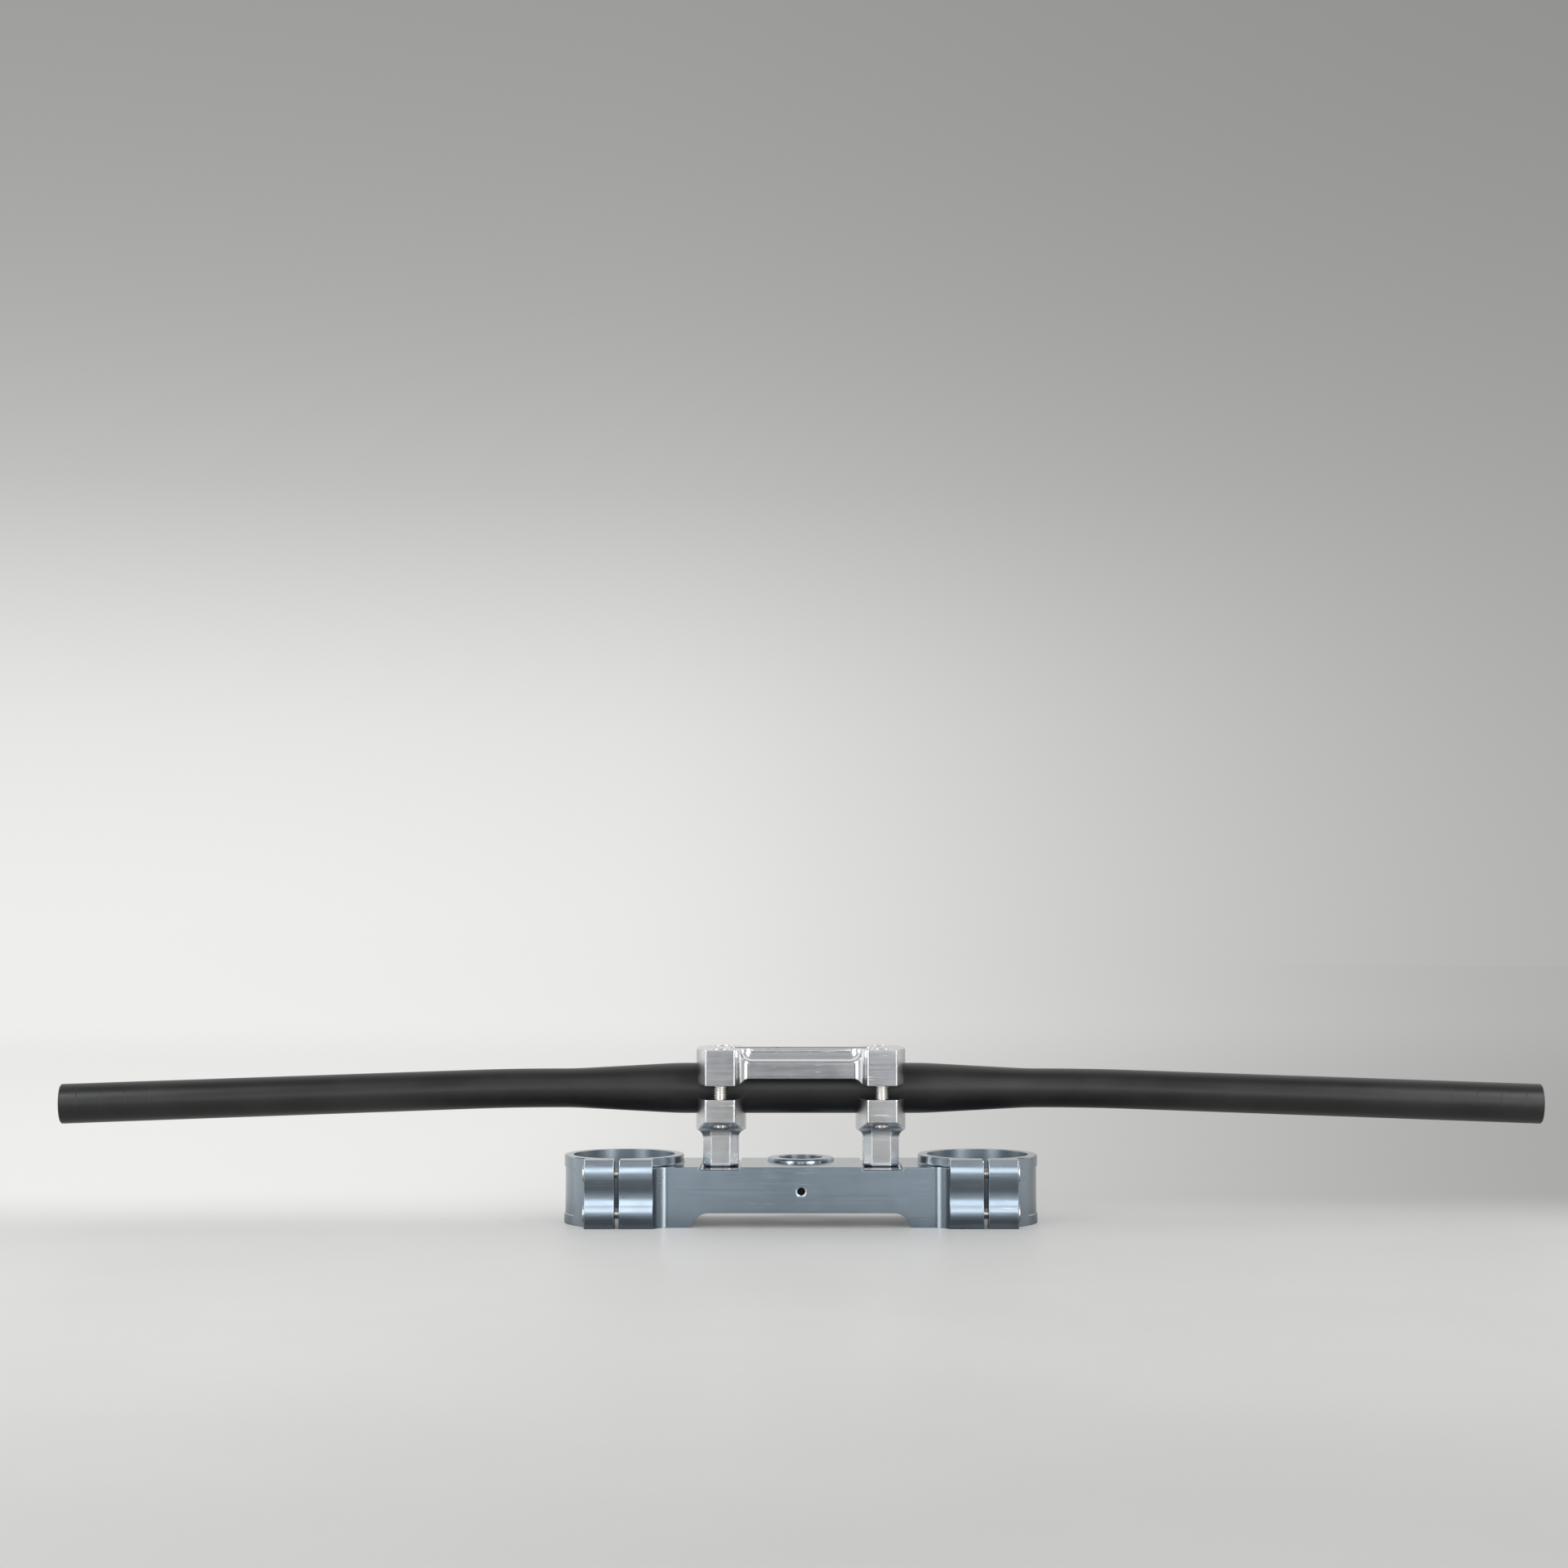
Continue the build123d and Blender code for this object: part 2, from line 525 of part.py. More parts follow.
def web_outline():
    """The web from above, with a bulge behind the steering stem."""
    depth = WEB_FRONT + WEB_BACK
    outline = Pos(0, (WEB_BACK - WEB_FRONT) / 2) * Rectangle(FORK_SPACING, depth)
    outline += Pos(0, STEM_BACK) * Circle(STEM_OUTER + STEM_BULGE)
    corners = [v for v in outline.vertices() if abs(v.Y - WEB_BACK) < 1e-3 and abs(v.X) < FORK_X - 1]
    outline = fillet(corners, 2 * WEB_CORNER)
    outline += Pos(-FORK_X, 0) * Circle(RING_RADIUS) + Pos(FORK_X, 0) * Circle(RING_RADIUS)
    corners = [v for v in outline.vertices() if abs(v.Y - WEB_BACK) < 1e-3 and abs(v.X) > SEAT_X]
    return fillet(corners, WEB_CORNER)


def arch_cut():
    """The arch milled through under the web, front to back."""
    flat = ARCH_FLAT / 2
    lift = ARCH_HEIGHT
    start_angle = math.acos((ARCH_CORNER - lift) / ARCH_CORNER)
    foot = flat + ARCH_CORNER * math.sin(start_angle)
    middle = (
        flat + ARCH_CORNER * math.sin(start_angle / 2),
        lift - ARCH_CORNER * (1 - math.cos(start_angle / 2)),
    )
    outline = [
        Line((-flat, lift), (flat, lift)),
        ThreePointArc((flat, lift), middle, (foot, 0)),
        Polyline((foot, 0), (foot, -1), (-foot, -1), (-foot, 0)),
        ThreePointArc((-foot, 0), (-middle[0], middle[1]), (-flat, lift)),
    ]
    face = Plane.XZ * make_face(outline)
    return extrude(face, 2 * WEB_FRONT, both=True)


def underside_pocket():
    """The right-hand lightening pocket under the web, between the ribs, riser and stem."""
    inner = POCKET_RIB / 2
    outer = SEAT_X - WASHER_DIAMETER / 2 - POCKET_WALL
    front = -WEB_FRONT + POCKET_WALL
    back = WEB_BACK - POCKET_WALL
    sketch = Pos((inner + outer) / 2, (front + back) / 2) * Rectangle(outer - inner, back - front)
    sketch -= Pos(0, STEM_BACK) * Circle(STEM_RADIUS + STEM_SKIRT)
    pieces = sketch.faces().sort_by(SortBy.AREA)
    sketch = Sketch() + pieces[-1]
    sketch = fillet(sketch.vertices(), POCKET_ROUND)
    return extrude(Pos(0, 0, ARCH_HEIGHT - 1) * sketch, WEB_TOP - POCKET_ROOF - ARCH_HEIGHT + 1)


def riser_seat(x):
    """The shallow way that a riser stands in, its lips, and the holes of its bolt."""
    half = COLUMN_WIDTH / 2 + SEAT_SIDE
    seat = block((x - half, x + half), (-2 * WEB_FRONT, 2 * WEB_FRONT), (RISER_FOOT, WEB_TOP + SEAT_DEPTH))
    lip = math.sqrt(2) * SEAT_LIP
    for y in (-WEB_FRONT, WEB_BACK):
        seat += Pos(x, y, RISER_FOOT) * Rot(45, 0, 0) * Box(2 * half, lip, lip)
        for edge in (x - half, x + half):
            wedge = Pos(edge, y, (RISER_FOOT + WEB_TOP) / 2) * Rot(0, 0, 45) * Box(lip, lip, SEAT_DEPTH)
            seat += wedge
    seat += cylinder_z((RISER_THREAD + HOLE_CLEARANCE) / 2, 0, WEB_TOP, x)
    return seat + cylinder_z((WASHER_DIAMETER + HEAD_CLEARANCE) / 2, 0, WASHER_TOP, x)


def web_solid():
    """The web with the raised rim of the stem eye."""
    web = extrude(web_outline(), WEB_TOP)
    web = chamfer(web.faces().sort_by(Axis.Z)[-1].edges(), WEB_EDGE_BREAK)
    rim = cylinder_z(STEM_OUTER, WEB_TOP, WEB_TOP + STEM_RISE, 0, STEM_BACK)
    return web + chamfer(rim.edges().sort_by(Axis.Z)[-1], STEM_CHAMFER)


def ring_solid():
    """The right fork ring before it is bored."""
    ring = cylinder_z(RING_RADIUS, 0, RING_HEIGHT, FORK_X)
    return chamfer(ring.edges().filter_by(GeomType.CIRCLE), RING_EDGE_BREAK)


def collar_foot():
    """The hollow round that runs from the right ring's collar onto the web's top face."""
    outer = RING_RADIUS + COLLAR_FILLET
    high = WEB_TOP + COLLAR_FILLET
    slack = COLLAR_FILLET * (1 - math.sqrt(0.5))
    hollow = ThreePointArc((outer, WEB_TOP), (RING_RADIUS + slack, WEB_TOP + slack), (RING_RADIUS, high))
    rest = Polyline((RING_RADIUS, high), (FORK_RADIUS, high), (FORK_RADIUS, WEB_TOP), (outer, WEB_TOP))
    round_ring = Pos(FORK_X, 0, 0) * revolve(Plane.XZ * make_face([hollow, rest]), Axis.Z)
    landing = offset(web_outline(), -WEB_EDGE_BREAK)
    return round_ring & extrude(Pos(0, 0, WEB_TOP) * landing, COLLAR_FILLET)


def make_top_yoke():
    """The fork's top yoke: web, two split rings with pinch lugs, stem eye and riser seats."""
    body = web_solid() + both_sides(ring_solid() + lug_solid() + collar_foot())
    body -= arch_cut()
    for sign in SIDES.values():
        body -= riser_seat(sign * SEAT_X)
    body -= both_sides(underside_pocket())
    body -= bore(STEM_RADIUS, ARCH_HEIGHT, WEB_TOP + STEM_RISE, 0, STEM_BACK, STEM_CHAMFER)
    body -= both_sides(bore(FORK_RADIUS, 0, RING_HEIGHT, FORK_X, 0, RING_EDGE_BREAK))
    body -= both_sides(slot_cut())
    body -= both_sides(flank_pocket())
    body -= both_sides(pinch_holes())
    return body - front_hole()


def pinch_holes():
    """Clearance hole, tapped hole and counterbore for both bolts of the right lug."""
    holes = Part()
    tip = PINCH_HEAD_SEAT - PINCH_BOLT_LENGTH - PINCH_TAP_SPARE
    for height in PINCH_HEIGHTS.values():
        holes += cylinder_x(PINCH_HOLE / 2, SLOT_X, LUG_OUT_X + 1, PINCH_Y, height)
        holes += cylinder_x((PINCH_THREAD + THREAD_CLEARANCE) / 2, tip, SLOT_X, PINCH_Y, height)
        holes += cylinder_x(PINCH_COUNTERBORE / 2, PINCH_HEAD_SEAT, 2 * LUG_OUT_X, PINCH_Y, height)
    return holes


def front_hole():
    """The small threaded hole in the middle of the web's face."""
    mouth = (FRONT_HOLE_MOUTH - FRONT_TAP_DRILL) / 2
    hole = cylinder_z(FRONT_TAP_DRILL / 2, -FRONT_HOLE_DEPTH, 1)
    hole += Pos(0, 0, -mouth / 2) * Cone(FRONT_TAP_DRILL / 2, FRONT_HOLE_MOUTH / 2, mouth)
    return Pos(0, -WEB_FRONT, FRONT_HOLE_HEIGHT) * Rot(90, 0, 0) * hole


def all_nodes():
    """Every piece by its node name."""
    nodes = {
        "handlebar": make_handlebar(),
        "top_clamp": make_top_clamp(),
        "top_yoke": make_top_yoke(),
    }
    for place, x, y in clamp_bolt_places():
        nodes[f"clamp_bolt_{place}"] = make_clamp_bolt(x, y)
    for side in SIDES:
        nodes[f"riser_{side}"] = make_riser(side)
        nodes[f"riser_bolt_{side}"] = make_riser_bolt(side)
        nodes[f"riser_washer_{side}"] = make_riser_washer(side)
        for level, height in PINCH_HEIGHTS.items():
            nodes[f"pinch_bolt_{level}_{side}"] = make_pinch_bolt(side, height)
    return nodes


def main():
    """Write each piece to its own file."""
    os.makedirs("parts", exist_ok=True)
    for name, shape in all_nodes().items():
        export_step(shape, f"parts/{name}.step")


main()
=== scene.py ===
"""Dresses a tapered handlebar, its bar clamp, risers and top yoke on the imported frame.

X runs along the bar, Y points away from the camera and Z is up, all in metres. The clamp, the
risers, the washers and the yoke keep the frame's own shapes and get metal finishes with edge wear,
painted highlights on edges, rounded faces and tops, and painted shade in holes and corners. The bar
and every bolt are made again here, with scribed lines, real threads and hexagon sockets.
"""

import json
import logging
import math
from dataclasses import dataclass
from enum import Enum

import bmesh
import bpy
import numpy as np
from mathutils import Matrix, Vector

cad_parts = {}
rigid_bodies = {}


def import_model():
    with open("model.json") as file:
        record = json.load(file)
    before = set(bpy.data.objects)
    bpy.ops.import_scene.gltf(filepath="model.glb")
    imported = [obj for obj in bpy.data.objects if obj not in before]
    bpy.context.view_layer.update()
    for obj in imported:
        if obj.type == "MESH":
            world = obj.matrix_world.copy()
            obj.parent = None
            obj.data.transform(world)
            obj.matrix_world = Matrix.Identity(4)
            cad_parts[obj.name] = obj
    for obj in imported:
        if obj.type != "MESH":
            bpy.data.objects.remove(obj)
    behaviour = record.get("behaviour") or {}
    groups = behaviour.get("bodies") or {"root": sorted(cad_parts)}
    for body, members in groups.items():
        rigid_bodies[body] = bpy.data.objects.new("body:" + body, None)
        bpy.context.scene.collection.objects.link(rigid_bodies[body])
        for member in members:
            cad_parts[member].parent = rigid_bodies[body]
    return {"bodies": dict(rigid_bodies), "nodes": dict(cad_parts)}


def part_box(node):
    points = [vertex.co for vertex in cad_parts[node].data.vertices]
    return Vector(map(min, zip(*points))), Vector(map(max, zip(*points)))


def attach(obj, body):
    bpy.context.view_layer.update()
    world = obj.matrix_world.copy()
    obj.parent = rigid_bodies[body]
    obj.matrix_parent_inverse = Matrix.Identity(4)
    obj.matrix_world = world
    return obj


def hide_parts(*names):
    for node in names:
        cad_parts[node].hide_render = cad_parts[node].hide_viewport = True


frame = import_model()

LOG = logging.getLogger("handlebar")
MM = 0.001
EDGE_SAMPLES = 6
OPENNESS_SAMPLES = 8
JOIN_DISTANCE = 0.001 * MM
FLOOR_SIDES = 96
COOL = (0.97, 0.99, 1.0)

Colour = tuple[float, float, float]
Point = tuple[float, float, float]
Stops = tuple[tuple[float, float], ...]
Socket = bpy.types.NodeSocket


class LineDirection(Enum):
    """Which way the cutter's lines run on a machined piece, with the noise stretch for each."""

    ALONG_X = (0.02, 1.0, 1.0)
    ALONG_Z = (1.0, 1.0, 0.02)


class RowShape(Enum):
    """The outline of one ring of points of a turned piece, seen along its axis."""

    ROUND = "round"
    KNURLED = "knurled"
    HEXAGON = "hexagon"


class Board:
    """A node tree that is filled by short calls, for shaders and for geometry alike."""

    def __init__(self, tree: bpy.types.NodeTree) -> None:
        """Take an empty tree to fill."""
        self.tree = tree

    def add(self, kind: str, **settings: object) -> bpy.types.Node:
        """Add a node.

        Args:
            kind: the node's type name.
            settings: attributes to set on it, such as its operation.

        Returns:
            The new node.
        """
        node = self.tree.nodes.new(kind)
        for name, value in settings.items():
            setattr(node, name, value)
        return node

    def feed(self, socket: Socket, value: object) -> None:
        """Link a socket to another one, or set its value.

        Args:
            socket: the input to feed.
            value: an output socket, or a plain value.
        """
        if isinstance(value, Socket):
            self.tree.links.new(value, socket)
        else:
            socket.default_value = value

    def math(self, operation: str, first: object, second: object = 0.0, third: object = 0.0) -> Socket:
        """Add a Math node.

        Args:
            operation: the node's operation.
            first: its first value.
            second: its second value.
            third: its third value, for the operations that have one.

        Returns:
            The node's result.
        """
        node = self.add("ShaderNodeMath", operation=operation)
        for socket, value in zip(node.inputs, (first, second, third)):
            self.feed(socket, value)
        return node.outputs[0]

    def times(self, first: object, second: object) -> Socket:
        """The product of two values."""
        return self.math("MULTIPLY", first, second)

    def plus(self, first: object, second: object) -> Socket:
        """The sum of two values."""
        return self.math("ADD", first, second)

    def minus(self, first: object, second: object) -> Socket:
        """The first value less the second."""
        return self.math("SUBTRACT", first, second)

    def times_plus(self, first: object, second: object, third: object) -> Socket:
        """The product of the first two values, with the third added."""
        return self.math("MULTIPLY_ADD", first, second, third)

    def most(self, first: object, second: object) -> Socket:
        """The larger of two values."""
        return self.math("MAXIMUM", first, second)

    def unsigned(self, value: object) -> Socket:
        """A value without its sign."""
        return self.math("ABSOLUTE", value)

    def distance(self, first: object, second: object) -> Socket:
        """How far off a point is, from its offsets in two square directions."""
        return self.math("SQRT", self.times_plus(first, first, self.times(second, second)))

    def swing(self, pattern: object, width: float) -> Socket:
        """A pattern of 0 to 1, centred on zero and made this wide."""
        return self.times(self.minus(pattern, 0.5), width)

    def split(self, vector: object) -> list[Socket]:
        """The X, Y and Z of a vector."""
        node = self.add("ShaderNodeSeparateXYZ")
        self.feed(node.inputs[0], vector)
        return list(node.outputs)

    def vector(self, x: object = 0.0, y: object = 0.0, z: object = 0.0) -> Socket:
        """A vector from its X, Y and Z."""
        node = self.add("ShaderNodeCombineXYZ")
        for socket, value in zip(node.inputs, (x, y, z)):
            self.feed(socket, value)
        return node.outputs[0]

    def grey(self, level: object) -> Socket:
        """A grey of this level."""
        node = self.add("ShaderNodeCombineColor")
        for socket in node.inputs:
            self.feed(socket, level)
        return node.outputs[0]

    def span(
        self, value: object, low: float, high: float, to_low: float = 0.0, to_high: float = 1.0
    ) -> Socket:
        """Map a value smoothly from one span onto another, held at both ends.

        Args:
            value: the value to map.
            low: the start of its span.
            high: the end of its span.
            to_low: what the start becomes.
            to_high: what the end becomes.

        Returns:
            The mapped value.
        """
        node = self.add("ShaderNodeMapRange", interpolation_type="SMOOTHSTEP")
        for name, number in (("From Min", low), ("From Max", high), ("To Min", to_low), ("To Max", to_high)):
            node.inputs[name].default_value = number
        self.feed(node.inputs["Value"], value)
        return node.outputs["Result"]

    def ramp(self, value: object, stops: Stops) -> Socket:
        """A grey ramp through the given stops.

        Args:
            value: where to read the ramp, 0 to 1.
            stops: pairs of place and level, in order.

        Returns:
            The level.
        """
        node = self.add("ShaderNodeValToRGB")
        elements = node.color_ramp.elements
        while len(elements) < len(stops):
            elements.new(0.5)
        for element, (place, level) in zip(elements, stops):
            element.position = place
            element.color = (level, level, level, 1.0)
        node.color_ramp.interpolation = "B_SPLINE" if len(stops) > 4 else "EASE"
        self.feed(node.inputs["Fac"], value)
        return node.outputs["Color"]

    def blend(self, share: object, first: object, second: object, kind: str = "MIX") -> Socket:
        """Mix two colours.

        Args:
            share: how much of the second colour.
            first: a colour or a colour socket.
            second: a colour or a colour socket.
            kind: the way of mixing.

        Returns:
            The mixed colour.
        """
        node = self.add("ShaderNodeMix", data_type="RGBA", blend_type=kind)
        self.feed(node.inputs[0], share)
        for socket, value in ((node.inputs[6], first), (node.inputs[7], second)):
            self.feed(socket, (*value, 1.0) if isinstance(value, tuple) else value)
        return node.outputs[2]

    def stretched(self, place: object, scale: Point, turn: Point = (0.0, 0.0, 0.0)) -> Socket:
        """Stretch and turn a set of coordinates.

        Args:
            place: the coordinates.
            scale: the stretch along each axis.
            turn: the turn about each axis, in degrees.

        Returns:
            The new coordinates.
        """
        node = self.add("ShaderNodeMapping")
        node.inputs["Scale"].default_value = scale
        node.inputs["Rotation"].default_value = [math.radians(angle) for angle in turn]
        self.feed(node.inputs["Vector"], place)
        return node.outputs["Vector"]

    def noise(self, place: object, scale: float, detail: float = 2.0, rough: float = 0.5) -> Socket:
        """A noise pattern.

        Args:
            place: the coordinates to read it at.
            scale: how many features to a unit of them.
            detail: how many finer layers it has.
            rough: how strong those layers are.

        Returns:
            The noise, 0 to 1.
        """
        node = self.add("ShaderNodeTexNoise")
        self.feed(node.inputs["Vector"], place)
        for name, number in (("Scale", scale), ("Detail", detail), ("Roughness", rough)):
            node.inputs[name].default_value = number
        return node.outputs["Fac"]


class Surface(Board):
    """A new material's nodes around one Principled shader, read at Object coordinates."""

    def __init__(self, name: str) -> None:
        """Make the material.

        Args:
            name: the material's name.
        """
        self.material = bpy.data.materials.new(name)
        self.material.use_nodes = True
        super().__init__(self.material.node_tree)
        self.tree.nodes.clear()
        self.shader = self.add("ShaderNodeBsdfPrincipled")
        output = self.add("ShaderNodeOutputMaterial")
        self.tree.links.new(self.shader.outputs[0], output.inputs["Surface"])
        self.place = self.add("ShaderNodeTexCoord").outputs["Object"]

    def dress(self, **values: object) -> None:
        """Set or link the shader's own sockets.

        Args:
            values: socket names with underscores for spaces, and their values.
        """
        for name, value in values.items():
            self.feed(self.shader.inputs[name.replace("_", " ")], value)

    def edge(self, radius: float) -> tuple[Socket, Socket]:
        """Find the sharp edges of the piece.

        Args:
            radius: how far from an edge the effect reaches.

        Returns:
            How near an edge is, 0 to 1, and a normal that is rounded over it.
        """
        rounded = self.add("ShaderNodeBevel", samples=EDGE_SAMPLES)
        rounded.inputs["Radius"].default_value = radius
        dot = self.add("ShaderNodeVectorMath", operation="DOT_PRODUCT")
        self.feed(dot.inputs[0], rounded.outputs["Normal"])
        self.feed(dot.inputs[1], self.add("ShaderNodeNewGeometry").outputs["Normal"])
        return self.span(dot.outputs["Value"], 0.995, 0.9), rounded.outputs["Normal"]

    def openness(self, reach: float) -> Socket:
        """Tell deep holes and narrow slots from open surface, for the painted shade there.

        Args:
            reach: how far to look for other surface.

        Returns:
            How open the point is, 0 in a deep hole and 1 on an open face.
        """
        node = self.add("ShaderNodeAmbientOcclusion", samples=OPENNESS_SAMPLES)
        node.inputs["Distance"].default_value = reach
        return node.outputs["AO"]

    def bump(self, height: object, distance: float, strength: float, normal: object = None) -> Socket:
        """Turn a height pattern into a normal.

        Args:
            height: the pattern.
            distance: how deep it is, in metres.
            strength: how much of it shows.
            normal: the normal that it is laid over.

        Returns:
            The new normal.
        """
        node = self.add("ShaderNodeBump")
        node.inputs["Strength"].default_value = strength
        node.inputs["Distance"].default_value = distance
        self.feed(node.inputs["Height"], height)
        if normal is not None:
            self.feed(node.inputs["Normal"], normal)
        return node.outputs["Normal"]


@dataclass(frozen=True)
class Marks:
    """A fine noise, of which only what stands out between two levels is kept."""

    scale: float
    low: float
    high: float
    detail: float = 0.0
    rough: float = 0.5

    def on(self, board: Surface, place: Socket) -> Socket:
        """The marks at some coordinates, 0 to 1."""
        return board.span(board.noise(place, self.scale, self.detail, self.rough), self.low, self.high)


@dataclass(frozen=True)
class MetalPatterns:
    """What a metal finish reads at each point of its piece."""

    lines: Socket
    clouds: Socket
    marks: Socket
    worn_and_highlit: Socket
    off_square: Socket
    sideways: Socket
    up: Socket


@dataclass(frozen=True)
class MachinedMetal:
    """Bare or coloured metal with cutter lines, cloudy handling marks, scratches and edge wear, with painted
    light: a painted edge highlight over the edge wear, painted highlights on rounded faces and tops, and
    painted shade in holes, slots and corners.
    """

    name: str
    slot: str
    colour: Colour
    edge_colour: Colour
    roughness: float
    lines: LineDirection = LineDirection.ALONG_X
    line_pitches: tuple[Point, ...] = ((1900.0, 0.6, 0.55), (620.0, 0.5, 0.45))
    line_contrast: float = 0.10
    line_depth: float = 0.25
    line_height: float = 0.004 * MM
    line_roughness: float = 0.14
    cloud_scale: float = 70.0
    cloud_contrast: float = 0.08
    cloud_roughness: float = 0.12
    scratches: float = 0.3
    scratch_depth: float = 0.8
    scratch_patches: Marks = Marks(55.0, 0.44, 0.60, 1.0)
    scratch_stretch: Point = (0.06, 1.0, 1.0)
    scratch_turns: tuple[Point, ...] = ((20.0, 35.0, 50.0), (70.0, -40.0, 10.0), (-35.0, 15.0, -65.0))
    hairs: tuple[Marks, ...] = (
        Marks(900.0, 0.765, 0.83), Marks(1100.0, 0.765, 0.83), Marks(1300.0, 0.765, 0.83)
    )
    nicks: Marks = Marks(1150.0, 0.83, 0.88)
    # Edge wear: broken bands along the edges lightened towards the edge colour, partly wear and partly a
    # painted edge highlight.
    edge_wear_and_highlight: float = 0.6
    edge_round: float = 0.3 * MM
    edge_polish: float = 0.08
    edge_breaks: Marks = Marks(420.0, 0.12, 0.45, 2.0)
    # Painted highlight: shares of the bright edge colour laid on faces that look up and on rounded or slanted
    # faces.
    top_painted_sheen: float = 0.0
    top_polish: float = 0.06
    curve_painted_sheen: float = 0.0
    curve_roughness: float = 0.0
    side_roughness: float = 0.0
    smear: float = 0.0
    stain: float = 0.0
    stain_shade: Colour = (0.25, 0.235, 0.205)
    smudges: Marks = Marks(38.0, 0.46, 0.72, 4.0, 0.65)
    # Painted shade: deep holes, narrow slots and tight corners are darkened towards the shade colour below,
    # within this reach.
    painted_shade_reach: float = 7.0 * MM
    painted_hollow_shade: Colour = (0.035, 0.030, 0.027)
    bores: tuple[Point, ...] = ()
    bore_roughness: float = 0.46
    # Drilled holes in the front, as across, height, hole radius and bevel radius: each is painted near-black
    # inside as painted shade, and its bevel gets a painted highlight.
    drilled: tuple[tuple[float, float, float, float], ...] = ()
    drilled_front: float = -12.0 * MM
    drilled_margin: float = 1.04
    drilled_painted_shade: Colour = (0.010, 0.010, 0.011)

    def cutter_lines(self, board: Surface) -> Socket:
        """Long fine lines at two pitches, the way a milling cutter leaves them.

        Args:
            board: the material that is being made.

        Returns:
            The pattern, 0 to 1.
        """
        place = board.stretched(board.place, self.lines.value)
        lines = 0.0
        for scale, rough, weight in self.line_pitches:
            lines = board.times_plus(board.noise(place, scale, 1.0, rough), weight, lines)
        return lines

    def inside_bores(self, board: Surface) -> Socket:
        """Tell the walls of the large upright bores, which the boring tool leaves duller.

        Args:
            board: the material that is being made.

        Returns:
            1 on such a wall and 0 elsewhere.
        """
        x, y, _ = board.split(board.place)
        inside = 0.0
        for across, back, radius in self.bores:
            away = board.distance(board.minus(x, across), board.minus(y, back))
            inside = board.most(inside, board.math("LESS_THAN", away, radius))
        return inside

    def facing(self, board: Surface) -> tuple[Socket, Socket, Socket]:
        """Tell rounded and slanted faces, which another tool cuts and which get a painted highlight, from the
        square flat ones.

        Args:
            board: the material that is being made.

        Returns:
            How far the face is off square, 0 to 1, whether it faces sideways, 0 to 1, and how much it
            faces up, -1 to 1.
        """
        normal = board.split(board.add("ShaderNodeNewGeometry").outputs["Normal"])
        squarest = 0.0
        for axis in normal:
            squarest = board.most(squarest, board.unsigned(axis))
        sideways = board.span(board.unsigned(normal[0]), 0.85, 0.97)
        return board.span(squarest, 0.992, 0.94), sideways, normal[2]

    def on_top(self, board: Surface, seen: MetalPatterns, share: float) -> Socket:
        """A share on faces that look up, and nothing on the others."""
        return board.span(seen.up, 0.85, 0.98, 0.0, share)

    def along_lines(self, board: Surface) -> Socket:
        """Find the level direction on the surface, which the cutter lines follow.

        Args:
            board: the material that is being made.

        Returns:
            The direction; on faces that look up or down it is the long way of the piece.
        """
        normal = board.add("ShaderNodeNewGeometry").outputs["Normal"]
        level = board.add("ShaderNodeVectorMath", operation="CROSS_PRODUCT")
        board.feed(level.inputs[0], normal)
        board.feed(level.inputs[1], (0.0, 0.0, 1.0))
        chosen = board.add("ShaderNodeMix", data_type="VECTOR")
        board.feed(chosen.inputs["Factor"], board.span(board.unsigned(board.split(normal)[2]), 0.90, 0.96))
        board.feed(chosen.inputs[4], level.outputs["Vector"])
        board.feed(chosen.inputs[5], (1.0, 0.0, 0.0))
        return chosen.outputs[1]

    def drilled_painted_shade_and_rim(self, board: Surface) -> tuple[Socket, Socket]:
        """Mask the holes drilled into the front, which get painted shade, and the bevels at their rims, which
        get a painted highlight.

        Args:
            board: the material that is being made.

        Returns:
            1 inside a hole, and 1 on a hole or its bevel.
        """
        x, y, z = board.split(board.place)
        in_front = board.math("LESS_THAN", y, self.drilled_front)
        inside, painted_rim_highlight = 0.0, 0.0
        for across, height, hole, bevel in self.drilled:
            away = board.distance(board.minus(x, across), board.minus(z, height))
            inside = board.most(inside, board.math("LESS_THAN", away, hole * self.drilled_margin))
            painted_rim_highlight = board.most(painted_rim_highlight, board.math("LESS_THAN", away, bevel))
        return board.times(inside, in_front), board.times(painted_rim_highlight, in_front)

    def scratch_marks(self, board: Surface) -> Socket:
        """Short stray scratches and nicks in three directions, gathered in patches.

        Args:
            board: the material that is being made.

        Returns:
            The marks, 0 to 1.
        """
        marks = self.nicks.on(board, board.place)
        for turn, hair in zip(self.scratch_turns, self.hairs):
            place = board.stretched(board.place, self.scratch_stretch, turn)
            marks = board.most(marks, hair.on(board, place))
        return board.times(marks, self.scratch_patches.on(board, board.place))

    def shades(self, board: Surface, seen: MetalPatterns) -> Socket:
        """Lay lines and clouds over the metal, then a painted highlight on tops and rounded faces, scratches,
        edge wear that is also a painted edge highlight, painted shade in holes and corners, and painted shade
        and a painted rim highlight at drilled holes.

        Args:
            board: the material that is being made.
            seen: its patterns.

        Returns:
            The colour.
        """
        shade = board.plus(board.swing(seen.lines, 2 * self.line_contrast), 1.0)
        shade = board.plus(shade, board.swing(seen.clouds, 2 * self.cloud_contrast))
        colour = board.blend(1.0, self.colour, board.grey(shade), "MULTIPLY")
        if self.stain:
            stained = board.times(self.smudges.on(board, board.place), self.on_top(board, seen, self.stain))
            colour = board.blend(stained, colour, self.stain_shade)
